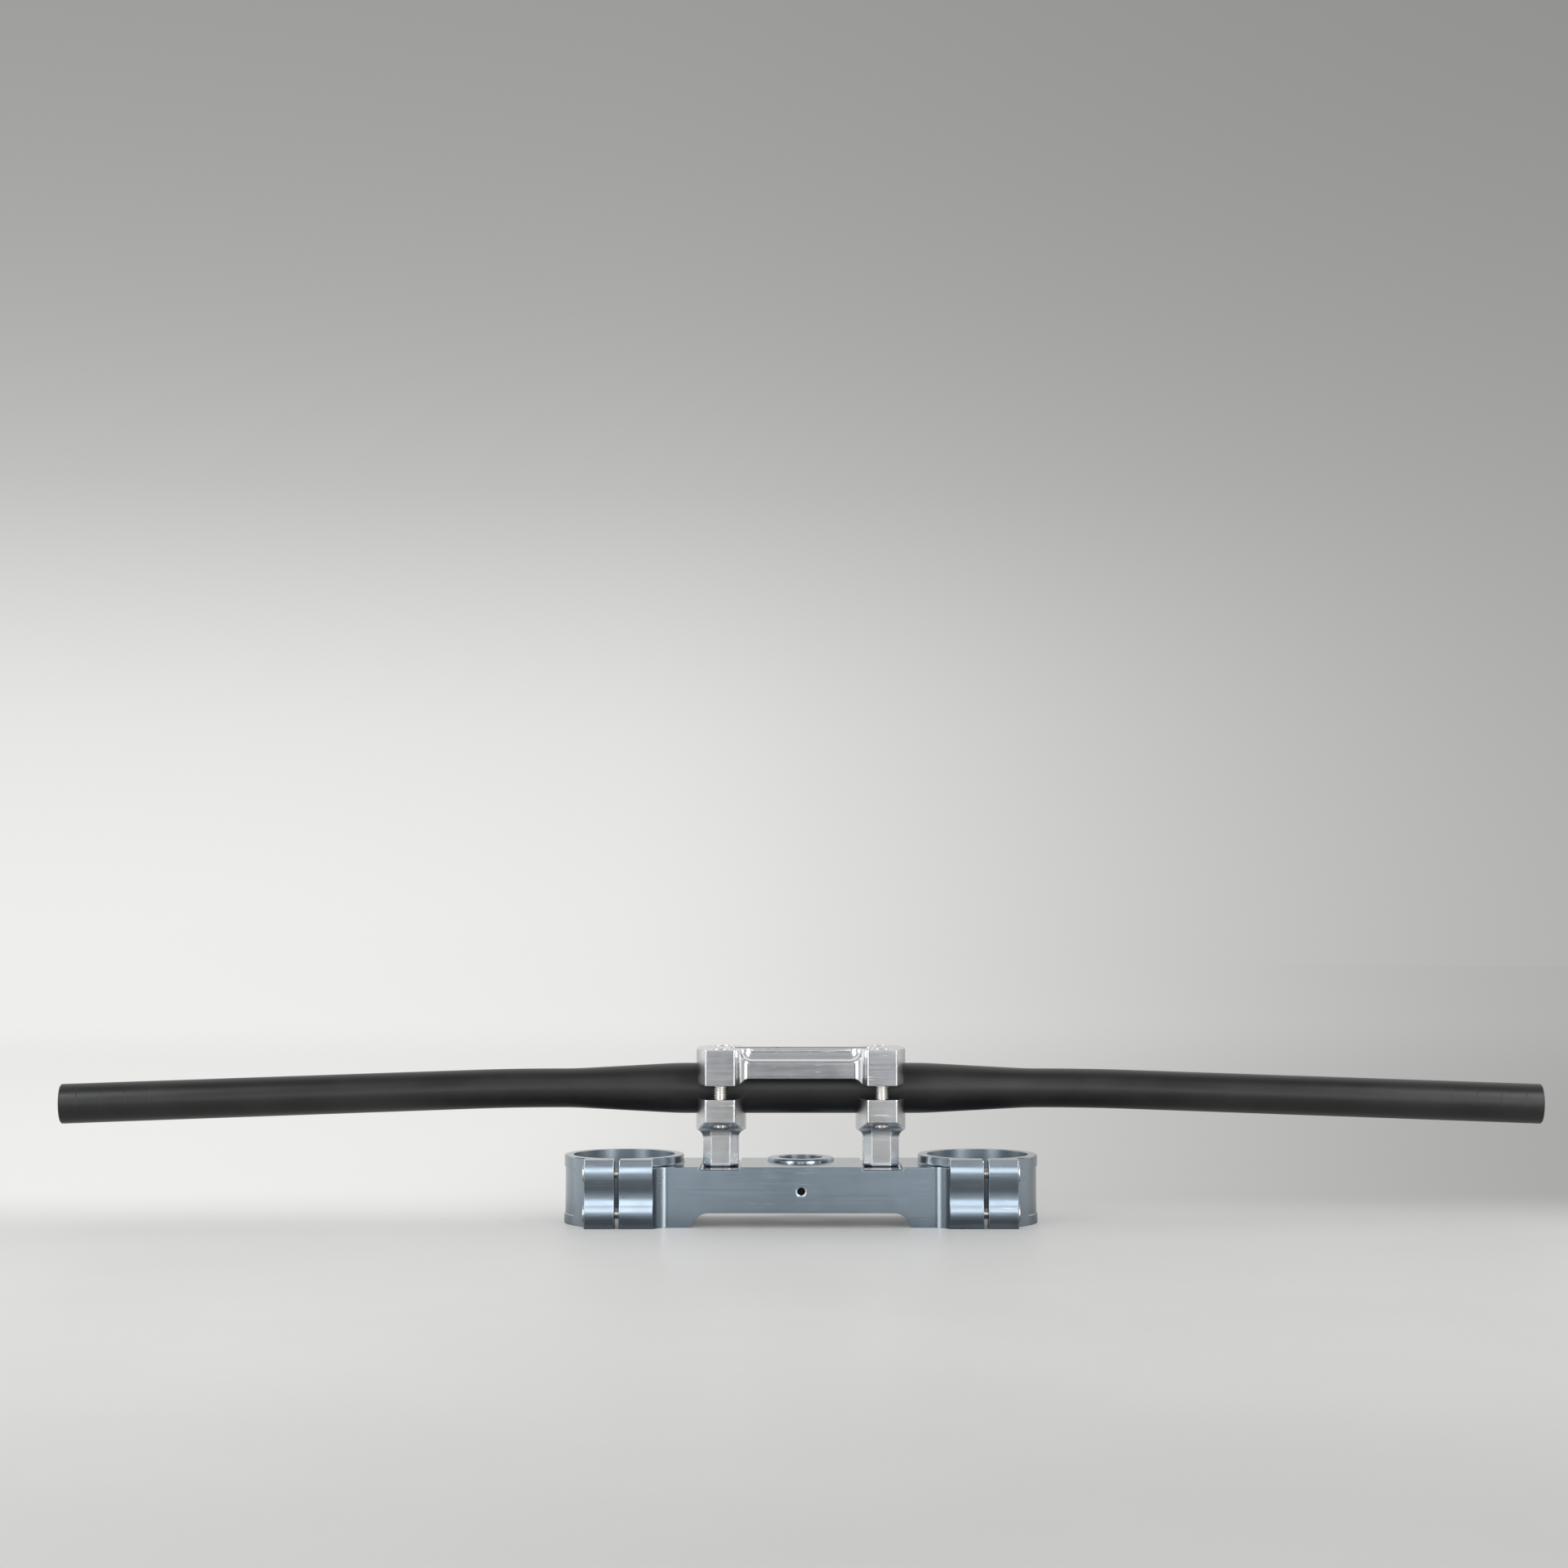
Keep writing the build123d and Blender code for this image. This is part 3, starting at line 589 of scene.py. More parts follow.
        # Painted highlight: rounded, slanted and upward faces are lightened towards the edge colour.
        if self.curve_painted_sheen:
            painted_curve_highlight = board.times(seen.off_square, self.curve_painted_sheen)
            brighter = board.most(painted_curve_highlight, self.on_top(board, seen, self.top_painted_sheen))
            colour = board.blend(brighter, colour, self.edge_colour)
        # Scratches, and edge wear that also stands as a painted edge highlight, lighten towards the edge
        # colour.
        for pattern, share in ((seen.marks, self.scratches), (seen.worn_and_highlit, self.edge_wear_and_highlight)):
            colour = board.blend(board.times(pattern, share), colour, self.edge_colour)
        # Painted shade in holes, slots and tight corners, from the occlusion mask.
        painted_hollow_mask = board.span(board.openness(self.painted_shade_reach), 0.30, 0.04)
        colour = board.blend(painted_hollow_mask, colour, self.painted_hollow_shade)
        # Painted highlight on each hole's bevel, then painted shade inside the hole.
        if self.drilled:
            inside, painted_rim_highlight = self.drilled_painted_shade_and_rim(board)
            colour = board.blend(painted_rim_highlight, colour, self.edge_colour)
            colour = board.blend(inside, colour, self.drilled_painted_shade)
        return colour

    def dullness(self, board: Surface, seen: MetalPatterns) -> Socket:
        """Vary the roughness with the patterns and the way that the face looks.

        Args:
            board: the material that is being made.
            seen: its patterns.

        Returns:
            The roughness.
        """
        rough = board.plus(board.swing(seen.lines, self.line_roughness), self.roughness)
        rough = board.plus(rough, board.swing(seen.clouds, self.cloud_roughness))
        rough = board.minus(rough, board.times(seen.worn_and_highlit, self.edge_polish))
        rough = board.minus(rough, self.on_top(board, seen, self.top_polish))
        rough = board.times_plus(seen.off_square, self.curve_roughness, rough)
        rough = board.times_plus(seen.sideways, self.side_roughness, rough)
        if self.bores:
            rough = board.most(rough, board.times(self.inside_bores(board), self.bore_roughness))
        return rough

    def material(self) -> bpy.types.Material:
        """Make the finish.

        Returns:
            The material.
        """
        board = Surface(self.name)
        near_edge, rounded = board.edge(self.edge_round)
        # Edge mask: partly edge wear, partly a painted edge highlight.
        worn_and_highlit = board.times(near_edge, self.edge_breaks.on(board, board.place))
        clouds = board.noise(board.place, self.cloud_scale, 3.0, 0.6)
        lines, marks = self.cutter_lines(board), self.scratch_marks(board)
        seen = MetalPatterns(lines, clouds, marks, worn_and_highlit, *self.facing(board))
        height = board.minus(lines, board.times(marks, self.scratch_depth))
        board.dress(
            Base_Color=self.shades(board, seen), Metallic=1.0, Roughness=self.dullness(board, seen),
            Normal=board.bump(height, self.line_height, self.line_depth, rounded),
        )
        if self.smear:
            smear = board.span(board.unsigned(seen.up), 0.85, 0.60, 0.0, self.smear)
            board.dress(Anisotropic=smear, Anisotropic_Rotation=0.25, Tangent=self.along_lines(board))
        return board.material


@dataclass(frozen=True)
class BlackBarFinish:
    """Fine-peened black on the bar, with the width lines scribed near both ends."""

    name: str = "peened_black"
    slot: str = "black_bar"
    colour: Colour = (0.0055, 0.0054, 0.0054)
    rubbed: Colour = (0.034, 0.034, 0.035)
    roughness: float = 0.405
    gloss: float = 0.38
    edge_round: float = 0.35 * MM
    handled_rub: float = 0.22
    edge_rub: float = 0.7
    dust_rub: float = 0.9
    line_rub: float = 0.35
    dust: Marks = Marks(900.0, 0.80, 0.86)
    peen_height: float = 0.03 * MM
    half_length: float = 417.9 * MM
    line_places: tuple[float, ...] = (10.0 * MM, 23.4 * MM, 36.8 * MM, 50.5 * MM)
    line_width: float = 0.34 * MM
    line_depth: float = 0.12 * MM
    line_start: float = 8.0
    line_end: float = 74.0

    def scribed(self, board: Surface) -> Socket:
        """The short arcs that mark how far in the bar may be cut.

        Args:
            board: the material that is being made.

        Returns:
            How deep in a line a point is, 0 to 1.
        """
        station = board.add("ShaderNodeAttribute", attribute_name="station").outputs["Fac"]
        turn = board.add("ShaderNodeAttribute", attribute_name="turn").outputs["Fac"]
        from_end = board.minus(self.half_length, board.unsigned(station))
        lines = 0.0
        for place in self.line_places:
            off = board.unsigned(board.minus(from_end, place))
            lines = board.most(lines, board.span(off, self.line_width, self.line_width * 0.35))
        start, end = math.radians(self.line_start), math.radians(self.line_end)
        reach = board.times(board.span(turn, start, start + 0.12), board.span(turn, end, end - 0.25))
        return board.times(lines, reach)

    def material(self) -> bpy.types.Material:
        """Make the finish.

        Returns:
            The material.
        """
        board = Surface(self.name)
        peened = board.noise(board.place, 1500.0, 2.0, 0.6)
        handled = board.noise(board.place, 24.0, 3.0, 0.6)
        drawn = board.noise(board.stretched(board.place, (0.03, 1.0, 1.0)), 700.0, 1.0)
        dust = board.times(self.dust.on(board, board.place), board.span(handled, 0.5, 0.7))
        scribed = self.scribed(board)
        near_edge, rounded = board.edge(self.edge_round)

        rub = board.times(board.span(handled, 0.35, 0.75), self.handled_rub)
        for pattern, share in ((near_edge, self.edge_rub), (dust, self.dust_rub), (scribed, self.line_rub)):
            rub = board.times_plus(pattern, share, rub)
        height = board.times_plus(peened, 0.8, board.times(drawn, 0.2))
        normal = board.bump(height, self.peen_height, 0.35, rounded)
        board.dress(
            Base_Color=board.blend(rub, self.colour, self.rubbed), Metallic=0.0,
            Roughness=board.plus(board.swing(handled, 0.14), self.roughness), Specular_IOR_Level=self.gloss,
            Normal=board.bump(board.minus(1.0, scribed), self.line_depth, 0.9, normal),
        )
        return board.material


@dataclass(frozen=True)
class Finishes:
    """Every finish of the object, one for each of the record's material slots."""

    # In these finishes the shade and reach values set painted shade in holes and corners, and the shine and
    # edge values also set painted highlights.
    clamp: MachinedMetal = MachinedMetal(
        "clamp_bare_aluminium", "clamp_aluminium", (0.300, 0.310, 0.326), (0.95, 0.955, 0.96), 0.16,
        line_contrast=0.22, scratches=0.9, edge_wear_and_highlight=0.95, edge_round=1.1 * MM, smear=0.6,
        curve_painted_sheen=0.75, curve_roughness=0.06, top_painted_sheen=0.43, side_roughness=0.10,
        painted_shade_reach=2.5 * MM, painted_hollow_shade=(0.20, 0.205, 0.21),
    )
    riser: MachinedMetal = MachinedMetal(
        "riser_bare_aluminium", "riser_aluminium", (0.372, 0.377, 0.383), (0.94, 0.945, 0.945), 0.16,
        line_contrast=0.18, scratches=0.8, edge_wear_and_highlight=0.95, edge_round=1.1 * MM, smear=0.6,
        curve_painted_sheen=0.7, curve_roughness=0.13, top_painted_sheen=0.35, side_roughness=0.10,
        painted_shade_reach=2.5 * MM, painted_hollow_shade=(0.15, 0.155, 0.16),
    )
    yoke: MachinedMetal = MachinedMetal(
        "yoke_blue_grey_anodised", "yoke_anodised", (0.194, 0.237, 0.279), (0.63, 0.70, 0.755), 0.185,
        line_contrast=0.15, line_depth=0.16, cloud_contrast=0.06, scratches=0.15, scratch_depth=0.1,
        edge_wear_and_highlight=0.85, edge_round=0.45 * MM, curve_painted_sheen=0.26, curve_roughness=0.12, top_painted_sheen=0.20,
        top_polish=0.07, stain=0.3, smear=0.65, painted_shade_reach=4.0 * MM,
        drilled=((0.0, 20.1 * MM, 2.1 * MM, 3.05 * MM),),
        bores=((-101.0 * MM, 0.0, 29.1 * MM), (101.0 * MM, 0.0, 29.1 * MM), (0.0, 14.4 * MM, 12.85 * MM)),
    )
    bolt: MachinedMetal = MachinedMetal(
        "bolt_stainless", "bolt_steel", (0.72, 0.70, 0.67), (0.90, 0.89, 0.87), 0.26,
        lines=LineDirection.ALONG_Z, line_contrast=0.08, scratches=0.4, edge_wear_and_highlight=0.6, edge_round=0.12 * MM,
        painted_shade_reach=0.8 * MM, painted_hollow_shade=(0.25, 0.24, 0.22),
    )
    washer: MachinedMetal = MachinedMetal(
        "washer_stainless", "washer_steel", (0.64, 0.63, 0.61), (0.82, 0.81, 0.80), 0.28,
        line_contrast=0.08, scratches=0.5, edge_wear_and_highlight=0.5, edge_round=0.15 * MM,
    )
    bar: BlackBarFinish = BlackBarFinish()


def plain_mesh(name: str, points: list, faces: list) -> bpy.types.Object:
    """Make an object from points and faces and put it in the scene.

    Args:
        name: the object's name.
        points: its points, in metres.
        faces: its faces, by point number.

    Returns:
        The new object, at the origin.
    """
    mesh = bpy.data.meshes.new(name)
    mesh.from_pydata(points, [], faces)
    mesh.update()
    made = bpy.data.objects.new(name, mesh)
    bpy.context.scene.collection.objects.link(made)
    return made


def finish_mesh(piece: bpy.types.Object, material: bpy.types.Material, sharp: float = 32.0) -> None:
    """Shade a piece smooth up to an angle and give it one material.

    Args:
        piece: the piece.
        material: its material.
        sharp: the angle, in degrees, past which an edge stays sharp.
    """
    mesh = piece.data
    mesh.materials.clear()
    mesh.materials.append(material)
    mesh.shade_smooth()
    mesh.set_sharp_from_angle(angle=math.radians(sharp))


class Maker(Board):
    """A Geometry Nodes modifier on one object: its tree, its named inputs and the baking."""

    def __init__(self, name: str, target: bpy.types.Object) -> None:
        """Start a tree.

        Args:
            name: the tree's name.
            target: the object whose mesh goes into it.
        """
        super().__init__(bpy.data.node_groups.new(name, "GeometryNodeTree"))
        self.target = target
        self.values: dict[str, object] = {}
        self.tree.interface.new_socket("Geometry", in_out="INPUT", socket_type="NodeSocketGeometry")
        self.tree.interface.new_socket("Geometry", in_out="OUTPUT", socket_type="NodeSocketGeometry")
        self.start = self.add("NodeGroupInput")
        self.end = self.add("NodeGroupOutput")

    def size(self, name: str, value: object, kind: str = "NodeSocketFloat") -> Socket:
        """Add a named input.

        Args:
            name: what the input is called.
            value: what it is set to on the modifier.
            kind: the type of its socket.

        Returns:
            The socket that carries the value inside the tree.
        """
        item = self.tree.interface.new_socket(name, in_out="INPUT", socket_type=kind)
        self.values[item.identifier] = value
        return self.start.outputs[name]

    def keep(self, geometry: object, name: str, value: object) -> Socket:
        """Store a number on each point under a name.

        Args:
            geometry: the geometry.
            name: the attribute's name.
            value: the number.

        Returns:
            The geometry with the attribute.
        """
        node = self.add("GeometryNodeStoreNamedAttribute", data_type="FLOAT", domain="POINT")
        node.inputs["Name"].default_value = name
        self.feed(node.inputs["Geometry"], geometry)
        self.feed(node.inputs["Value"], value)
        return node.outputs["Geometry"]

    def bake(self, geometry: object, material: bpy.types.Material) -> None:
        """End the tree in Realize Instances and Set Material, and bake its result into the target.

        Args:
            geometry: the last geometry of the tree.
            material: the material for all of it.
        """
        real = self.add("GeometryNodeRealizeInstances")
        self.feed(real.inputs["Geometry"], geometry)
        dressed = self.add("GeometryNodeSetMaterial")
        self.feed(dressed.inputs["Geometry"], real.outputs["Geometry"])
        dressed.inputs["Material"].default_value = material
        self.feed(self.end.inputs["Geometry"], dressed.outputs["Geometry"])

        modifier = self.target.modifiers.new("shape", "NODES")
        modifier.node_group = self.tree
        for identifier, value in self.values.items():
            modifier[identifier] = value
        depsgraph = bpy.context.evaluated_depsgraph_get()
        baked = bpy.data.meshes.new_from_object(self.target.evaluated_get(depsgraph), depsgraph=depsgraph)
        self.target.modifiers.remove(modifier)
        old = self.target.data
        name = old.name
        self.target.data = baked
        bpy.data.meshes.remove(old)
        baked.name = name


@dataclass
class Handlebar:
    """The swaged tube. Its outline is lathed and then bent by rule, in one Geometry Nodes tree."""

    finish: BlackBarFinish
    span: float = 832.8 * MM
    middle_radius: float = 14.3 * MM
    grip_radius: float = 11.1 * MM
    middle_wall: float = 4.5 * MM
    grip_wall: float = 4.1 * MM
    middle_length: float = 140.0 * MM
    taper_length: float = 59.5 * MM
    taper_ease: float = 6.0 * MM
    bend_lead: float = 8.5 * MM
    bend_radius: float = 480.0 * MM
    bend_angle: float = 6.1
    roll: float = 15.5
    end_chamfer: float = 0.6 * MM
    height: float = 75.8 * MM
    sides: int = 96
    middle_rows: int = 8
    taper_rows: int = 26
    step: float = 9.0 * MM

    @property
    def lead_end(self) -> float:
        """Where the bend starts, from the middle."""
        return self.middle_length / 2 + self.taper_length + self.bend_lead

    @property
    def half_length(self) -> float:
        """Half of the tube's length along its axis."""
        turn = math.radians(self.bend_angle)
        straight = (self.span / 2 - self.lead_end - self.bend_radius * math.sin(turn)) / math.cos(turn)
        return self.lead_end + self.bend_radius * turn + straight

    def eased_radius(self, station: float, middle: float, grip: float) -> float:
        """The wall's radius at a station, with the taper's two corners rounded off.

        Args:
            station: the distance from the middle.
            middle: the radius of the thick stretch.
            grip: the radius of the grip.

        Returns:
            The radius.
        """
        slope = (middle - grip) / self.taper_length
        start = self.middle_length / 2
        end = start + self.taper_length
        ease = self.taper_ease
        radius = middle - slope * min(max(station - start, 0.0), self.taper_length)
        if abs(station - start) < ease:
            radius = middle - slope * (station - start + ease) ** 2 / (4 * ease)
        if abs(station - end) < ease:
            radius = grip + slope * (end + ease - station) ** 2 / (4 * ease)
        return radius

    def wall_outline(self) -> list[tuple[float, float]]:
        """The closed outline of the tube's wall, out along the outside and back along the bore.

        Returns:
            Pairs of station and radius.
        """
        half, chamfer = self.half_length, self.end_chamfer
        taper = np.linspace(self.middle_length / 2 - self.taper_ease, self.lead_end, self.taper_rows)
        middle = np.linspace(0.0, taper[0], self.middle_rows, endpoint=False)
        grip = np.linspace(self.lead_end, half - chamfer, int((half - self.lead_end) / self.step))[1:]
        right = [*middle, *taper, *grip]
        stations = [-s for s in reversed(right)] + right[1:]
        outside = [(s, self.eased_radius(abs(s), self.middle_radius, self.grip_radius)) for s in stations]
        bore_middle = self.middle_radius - self.middle_wall
        bore_grip = self.grip_radius - self.grip_wall
        inside = [(s, self.eased_radius(abs(s), bore_middle, bore_grip)) for s in stations]
        outer_lip, inner_lip = self.grip_radius - chamfer, bore_grip + chamfer
        right_end = [(half, outer_lip), (half, inner_lip)]
        left_end = [(-half, inner_lip), (-half, outer_lip)]
        return outside + right_end + inside[::-1] + left_end

    def bent(self, maker: Maker, station: object, across: object, up: object) -> Socket:
        """Carry a point of the straight tube onto the bent, rolled and raised one.

        Args:
            maker: the tree.
            station: the point's distance along the tube, signed.
            across: its offset towards the back.
            up: its offset upwards.

        Returns:
            The new place.
        """
        lead = maker.size("Bend start", self.lead_end)
        radius = maker.size("Bend radius", self.bend_radius)
        angle = maker.size("Bend angle", math.radians(self.bend_angle))
        along = maker.unsigned(station)
        past = maker.most(maker.minus(along, lead), 0.0)
        turn = maker.math("MINIMUM", maker.math("DIVIDE", past, radius), angle)
        rest = maker.minus(past, maker.times(turn, radius))
        sine, cosine = maker.math("SINE", turn), maker.math("COSINE", turn)
        straight = maker.math("MINIMUM", along, lead)
        reach = maker.times_plus(sine, radius, maker.times_plus(rest, cosine, straight))
        x = maker.times(maker.times_plus(across, sine, reach), maker.math("SIGN", station))
        sag = maker.times(maker.minus(1.0, cosine), radius)
        back = maker.times_plus(rest, sine, sag)
        y = maker.minus(maker.times(across, cosine), back)

        rolled = maker.add("ShaderNodeVectorRotate", rotation_type="X_AXIS")
        maker.feed(rolled.inputs["Vector"], maker.vector(x, y, up))
        maker.feed(rolled.inputs["Angle"], maker.size("Roll", math.radians(self.roll)))
        raised = maker.add("ShaderNodeVectorMath", operation="ADD")
        maker.feed(raised.inputs[0], rolled.outputs[0])
        maker.feed(raised.inputs[1], maker.vector(z=maker.size("Height of the axis", self.height)))
        return raised.outputs[0]

    def lathed(self, maker: Maker, count: int) -> tuple[Socket, Socket, Socket, Socket]:
        """Lay a grid of points round the tube, one row for each point of the outline.

        Args:
            maker: the tree, whose input mesh holds the outline's points.
            count: how many points the outline has.

        Returns:
            The grid, and each point's station, radius and angle round the tube.
        """
        sides = maker.size("Sides", self.sides, "NodeSocketInt")
        columns = maker.plus(sides, 1.0)
        grid = maker.add("GeometryNodeMeshGrid")
        grid.inputs["Vertices X"].default_value = count + 1
        maker.feed(grid.inputs["Vertices Y"], columns)
        index = maker.add("GeometryNodeInputIndex").outputs[0]
        row = maker.math("FLOOR", maker.math("DIVIDE", maker.plus(index, 0.5), columns))
        column = maker.minus(index, maker.times(row, columns))
        sample = maker.add("GeometryNodeSampleIndex", data_type="FLOAT_VECTOR", domain="POINT")
        maker.feed(sample.inputs["Geometry"], maker.start.outputs["Geometry"])
        maker.feed(sample.inputs["Value"], maker.add("GeometryNodeInputPosition").outputs[0])
        maker.feed(sample.inputs["Index"], maker.math("MODULO", row, float(count)))
        station, _, radius = maker.split(sample.outputs["Value"])
        turn = maker.minus(maker.times(maker.math("DIVIDE", column, sides), math.tau), math.pi)
        return grid.outputs["Mesh"], station, radius, turn

    def build(self, material: bpy.types.Material) -> bpy.types.Object:
        """Make the bar.

        Args:
            material: the bar's finish.

        Returns:
            The finished piece.
        """
        outline = self.wall_outline()
        piece = plain_mesh("tapered_bar", [(station, 0.0, radius) for station, radius in outline], [])
        maker = Maker("lathe_and_bend", piece)
        grid, station, radius, turn = self.lathed(maker, len(outline))
        across = maker.times(maker.times(radius, maker.math("COSINE", turn)), -1.0)
        up = maker.times(radius, maker.math("SINE", turn))
        grid = maker.keep(maker.keep(grid, "station", station), "turn", turn)
        shape = maker.add("GeometryNodeSetPosition")
        maker.feed(shape.inputs["Geometry"], grid)
        maker.feed(shape.inputs["Position"], self.bent(maker, station, across, up))
        closed = maker.add("GeometryNodeMergeByDistance")
        maker.feed(closed.inputs["Geometry"], shape.outputs["Geometry"])
        closed.inputs["Distance"].default_value = JOIN_DISTANCE
        maker.bake(closed.outputs["Geometry"], material)
        face_outwards(piece)
        finish_mesh(piece, material)
        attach(piece, "root")
        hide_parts("handlebar")
        return piece


def face_outwards(piece: bpy.types.Object) -> None:
    """Turn every face of a closed piece outwards.

    Args:
        piece: the piece, with its doubles merged.
    """
    work = bmesh.new()
    work.from_mesh(piece.data)
    bmesh.ops.recalc_face_normals(work, faces=work.faces)
    work.to_mesh(piece.data)
    work.free()


@dataclass(frozen=True)
class BoltSize:
    """The sizes of one socket-head bolt, in metres."""

    thread: float
    pitch: float
    length: float
    threaded: float
    head: float
    head_height: float
    key: float
    key_depth: float


@dataclass
class SocketBolt:
    """A socket-head bolt that points down, with the underside of its head at Z = 0.

    The thread's sizes, from root_depth to thread_short, are in pitches.
    """

    size: BoltSize
    sides: int = 96
    ribs: int = 32
    rib_depth: float = 0.14 * MM
    ribs_start: float = 1.0 * MM
    ribs_below_top: float = 1.3 * MM
    rib_runout: float = 0.1 * MM
    rim_round: float = 0.6 * MM
    neck_round: float = 0.35 * MM
    seat_chamfer: float = 0.25 * MM
    root_depth: float = 0.60
    flank_reach: float = 0.46
    crest_reach: float = 0.16
    tip_length: float = 0.5
    runout_start: float = 0.4
    runout_end: float = 0.3
    thread_lift: float = 0.6
    thread_short: float = 1.2
    buried_root: float = 0.25
    tip_taper: float = 0.82
    cone_edge: float = 0.12
    cone_point: float = 0.08
    mouth_chamfer: float = 0.22 * MM
    mouth_depth: float = 0.45 * MM
    floor_inset: float = 0.3 * MM
    turn_steps: int = 22
    sharp: float = 28.0

    @property
    def core(self) -> float:
        """The radius at the thread's root."""
        return self.size.thread / 2 - self.root_depth * self.size.pitch

    def ring(self, radius: float, height: float, shape: RowShape = RowShape.ROUND) -> list[Point]:
        """One ring of points round the axis.

        Args:
            radius: its radius, or half of the width across the flats.
            height: its height.
            shape: its outline.

        Returns:
            The points.
        """
        points = []
        for number in range(self.sides):
            angle = math.tau * number / self.sides
            reach = radius
            if shape is RowShape.HEXAGON:
                reach = radius / math.cos((angle + math.pi / 6) % (math.pi / 3) - math.pi / 6)
            if shape is RowShape.KNURLED:
                reach = radius - (self.rib_depth if number % (self.sides // self.ribs) == 0 else 0.0)
            points.append((reach * math.cos(angle), reach * math.sin(angle), height))
        return points

    def rings(self) -> list[list[Point]]:
        """Every ring from the tip up to the bottom of the socket.

        Returns:
            The rings, in order.
        """
        size = self.size
        tip, top, head, shank = -size.length, size.head_height, size.head / 2, size.thread / 2
        runout, ribs_end = size.threaded - size.length, top - self.ribs_below_top
        flats, floor = size.key / 2, top - size.key_depth
        rows = [
            (self.core * self.tip_taper, tip), (self.core, tip + self.tip_length * size.pitch),
            (self.core, runout - self.runout_start * size.pitch),
            (shank, runout + self.runout_end * size.pitch),
            (shank, -self.neck_round), (shank + self.neck_round, 0.0),
            (head - self.seat_chamfer, 0.0), (head, self.seat_chamfer),
            (head, self.ribs_start - self.rib_runout), (head, self.ribs_start, RowShape.KNURLED),
            (head, ribs_end, RowShape.KNURLED), (head, ribs_end + self.rib_runout),
        ]
        for angle in (0.0, 0.4, 0.8, 1.2, math.pi / 2):
            inward, down = self.rim_round * (1 - math.cos(angle)), self.rim_round * (1 - math.sin(angle))
            rows.append((head - inward, top - down))
        rows += [
            (size.key / math.sqrt(3.0) + self.mouth_chamfer, top),
            (flats, top - self.mouth_depth, RowShape.HEXAGON), (flats, floor, RowShape.HEXAGON),
            (flats - self.floor_inset, floor), (flats / 2, floor - self.cone_edge * size.key),
        ]
        return [self.ring(*row) for row in rows]

    def body(self, name: str) -> bpy.types.Object:
        """The bolt without its thread.

        Args:
            name: the piece's name.

        Returns:
            The object.
        """
        rings = self.rings()
        count = self.sides
        points = [point for ring in rings for point in ring]
        faces = []
        for row in range(len(rings) - 1):
            for number in range(count):
                after = (number + 1) % count
                low, high = row * count, (row + 1) * count
                faces.append((low + number, low + after, high + after, high + number))
        bottom, top = len(points), len(points) + 1
        cone = rings[-1][0][2] - self.cone_point * self.size.key
        points += [(0.0, 0.0, -self.size.length), (0.0, 0.0, cone)]
        last = (len(rings) - 1) * count
        for number in range(count):
            after = (number + 1) % count
            faces.append((bottom, after, number))
            faces.append((top, last + number, last + after))
        return plain_mesh(name, points, faces)

    def with_thread(self, piece: bpy.types.Object, material: bpy.types.Material) -> None:
        """Wind the thread's ridge round the shank by Geometry Nodes.

        Args:
            piece: the bolt without its thread.
            material: the bolt's finish.
        """
        size = self.size
        maker = Maker("thread", piece)
        core = maker.size("Root radius", self.core)
        pitch = maker.size("Pitch", size.pitch)
        length = maker.size("Threaded length", size.threaded - self.thread_short * size.pitch)
        ridge = maker.minus(maker.size("Thread radius", size.thread / 2), core)

        helix = maker.add("GeometryNodeCurveSpiral")
        helix.inputs["Resolution"].default_value = self.turn_steps
        maker.feed(helix.inputs["Rotations"], maker.math("DIVIDE", length, pitch))
        maker.feed(helix.inputs["Start Radius"], core)
        maker.feed(helix.inputs["End Radius"], core)
        maker.feed(helix.inputs["Height"], length)
        upright = maker.add("GeometryNodeSetCurveNormal", mode="Z_UP")
        maker.feed(upright.inputs[0], helix.outputs[0])

        flank, crest = maker.times(pitch, self.flank_reach), maker.times(pitch, self.crest_reach)
        root = maker.times(ridge, -self.buried_root)
        corners = (
            (root, maker.times(flank, -1.0)), (ridge, maker.times(crest, -1.0)), (ridge, crest), (root, flank)
        )
        tooth = maker.add("GeometryNodeCurvePrimitiveQuadrilateral", mode="POINTS")
        for number, (out, along) in enumerate(corners, 1):
            maker.feed(tooth.inputs[f"Point {number}"], maker.vector(maker.times(out, -1.0), along))

        sweep = maker.add("GeometryNodeCurveToMesh")
        maker.feed(sweep.inputs["Curve"], upright.outputs[0])
        maker.feed(sweep.inputs["Profile Curve"], tooth.outputs[0])
        sweep.inputs["Fill Caps"].default_value = True
        placed = maker.add("GeometryNodeTransform")
        maker.feed(placed.inputs["Geometry"], sweep.outputs["Mesh"])
        start = maker.size("Start below the head", self.thread_lift * size.pitch - size.length)
        maker.feed(placed.inputs["Translation"], maker.vector(z=start))
        joined = maker.add("GeometryNodeJoinGeometry")
        maker.feed(joined.inputs[0], maker.start.outputs["Geometry"])
        maker.feed(joined.inputs[0], placed.outputs["Geometry"])
        maker.bake(joined.outputs[0], material)

    def build(
        self, node: str, place: Matrix, finish: MachinedMetal, material: bpy.types.Material
    ) -> bpy.types.Object:
        """Make one bolt in its place.

        Args:
            node: the frame's node that it stands for.
            place: where it goes.
            finish: its finish; not used.
            material: the finish's material.

        Returns:
            The finished piece.
        """
        piece = self.body(f"threaded_{node}")
        self.with_thread(piece, material)
        face_outwards(piece)
        piece.data.transform(place)
        finish_mesh(piece, material, self.sharp)
        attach(piece, "root")
        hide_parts(node)
        return piece


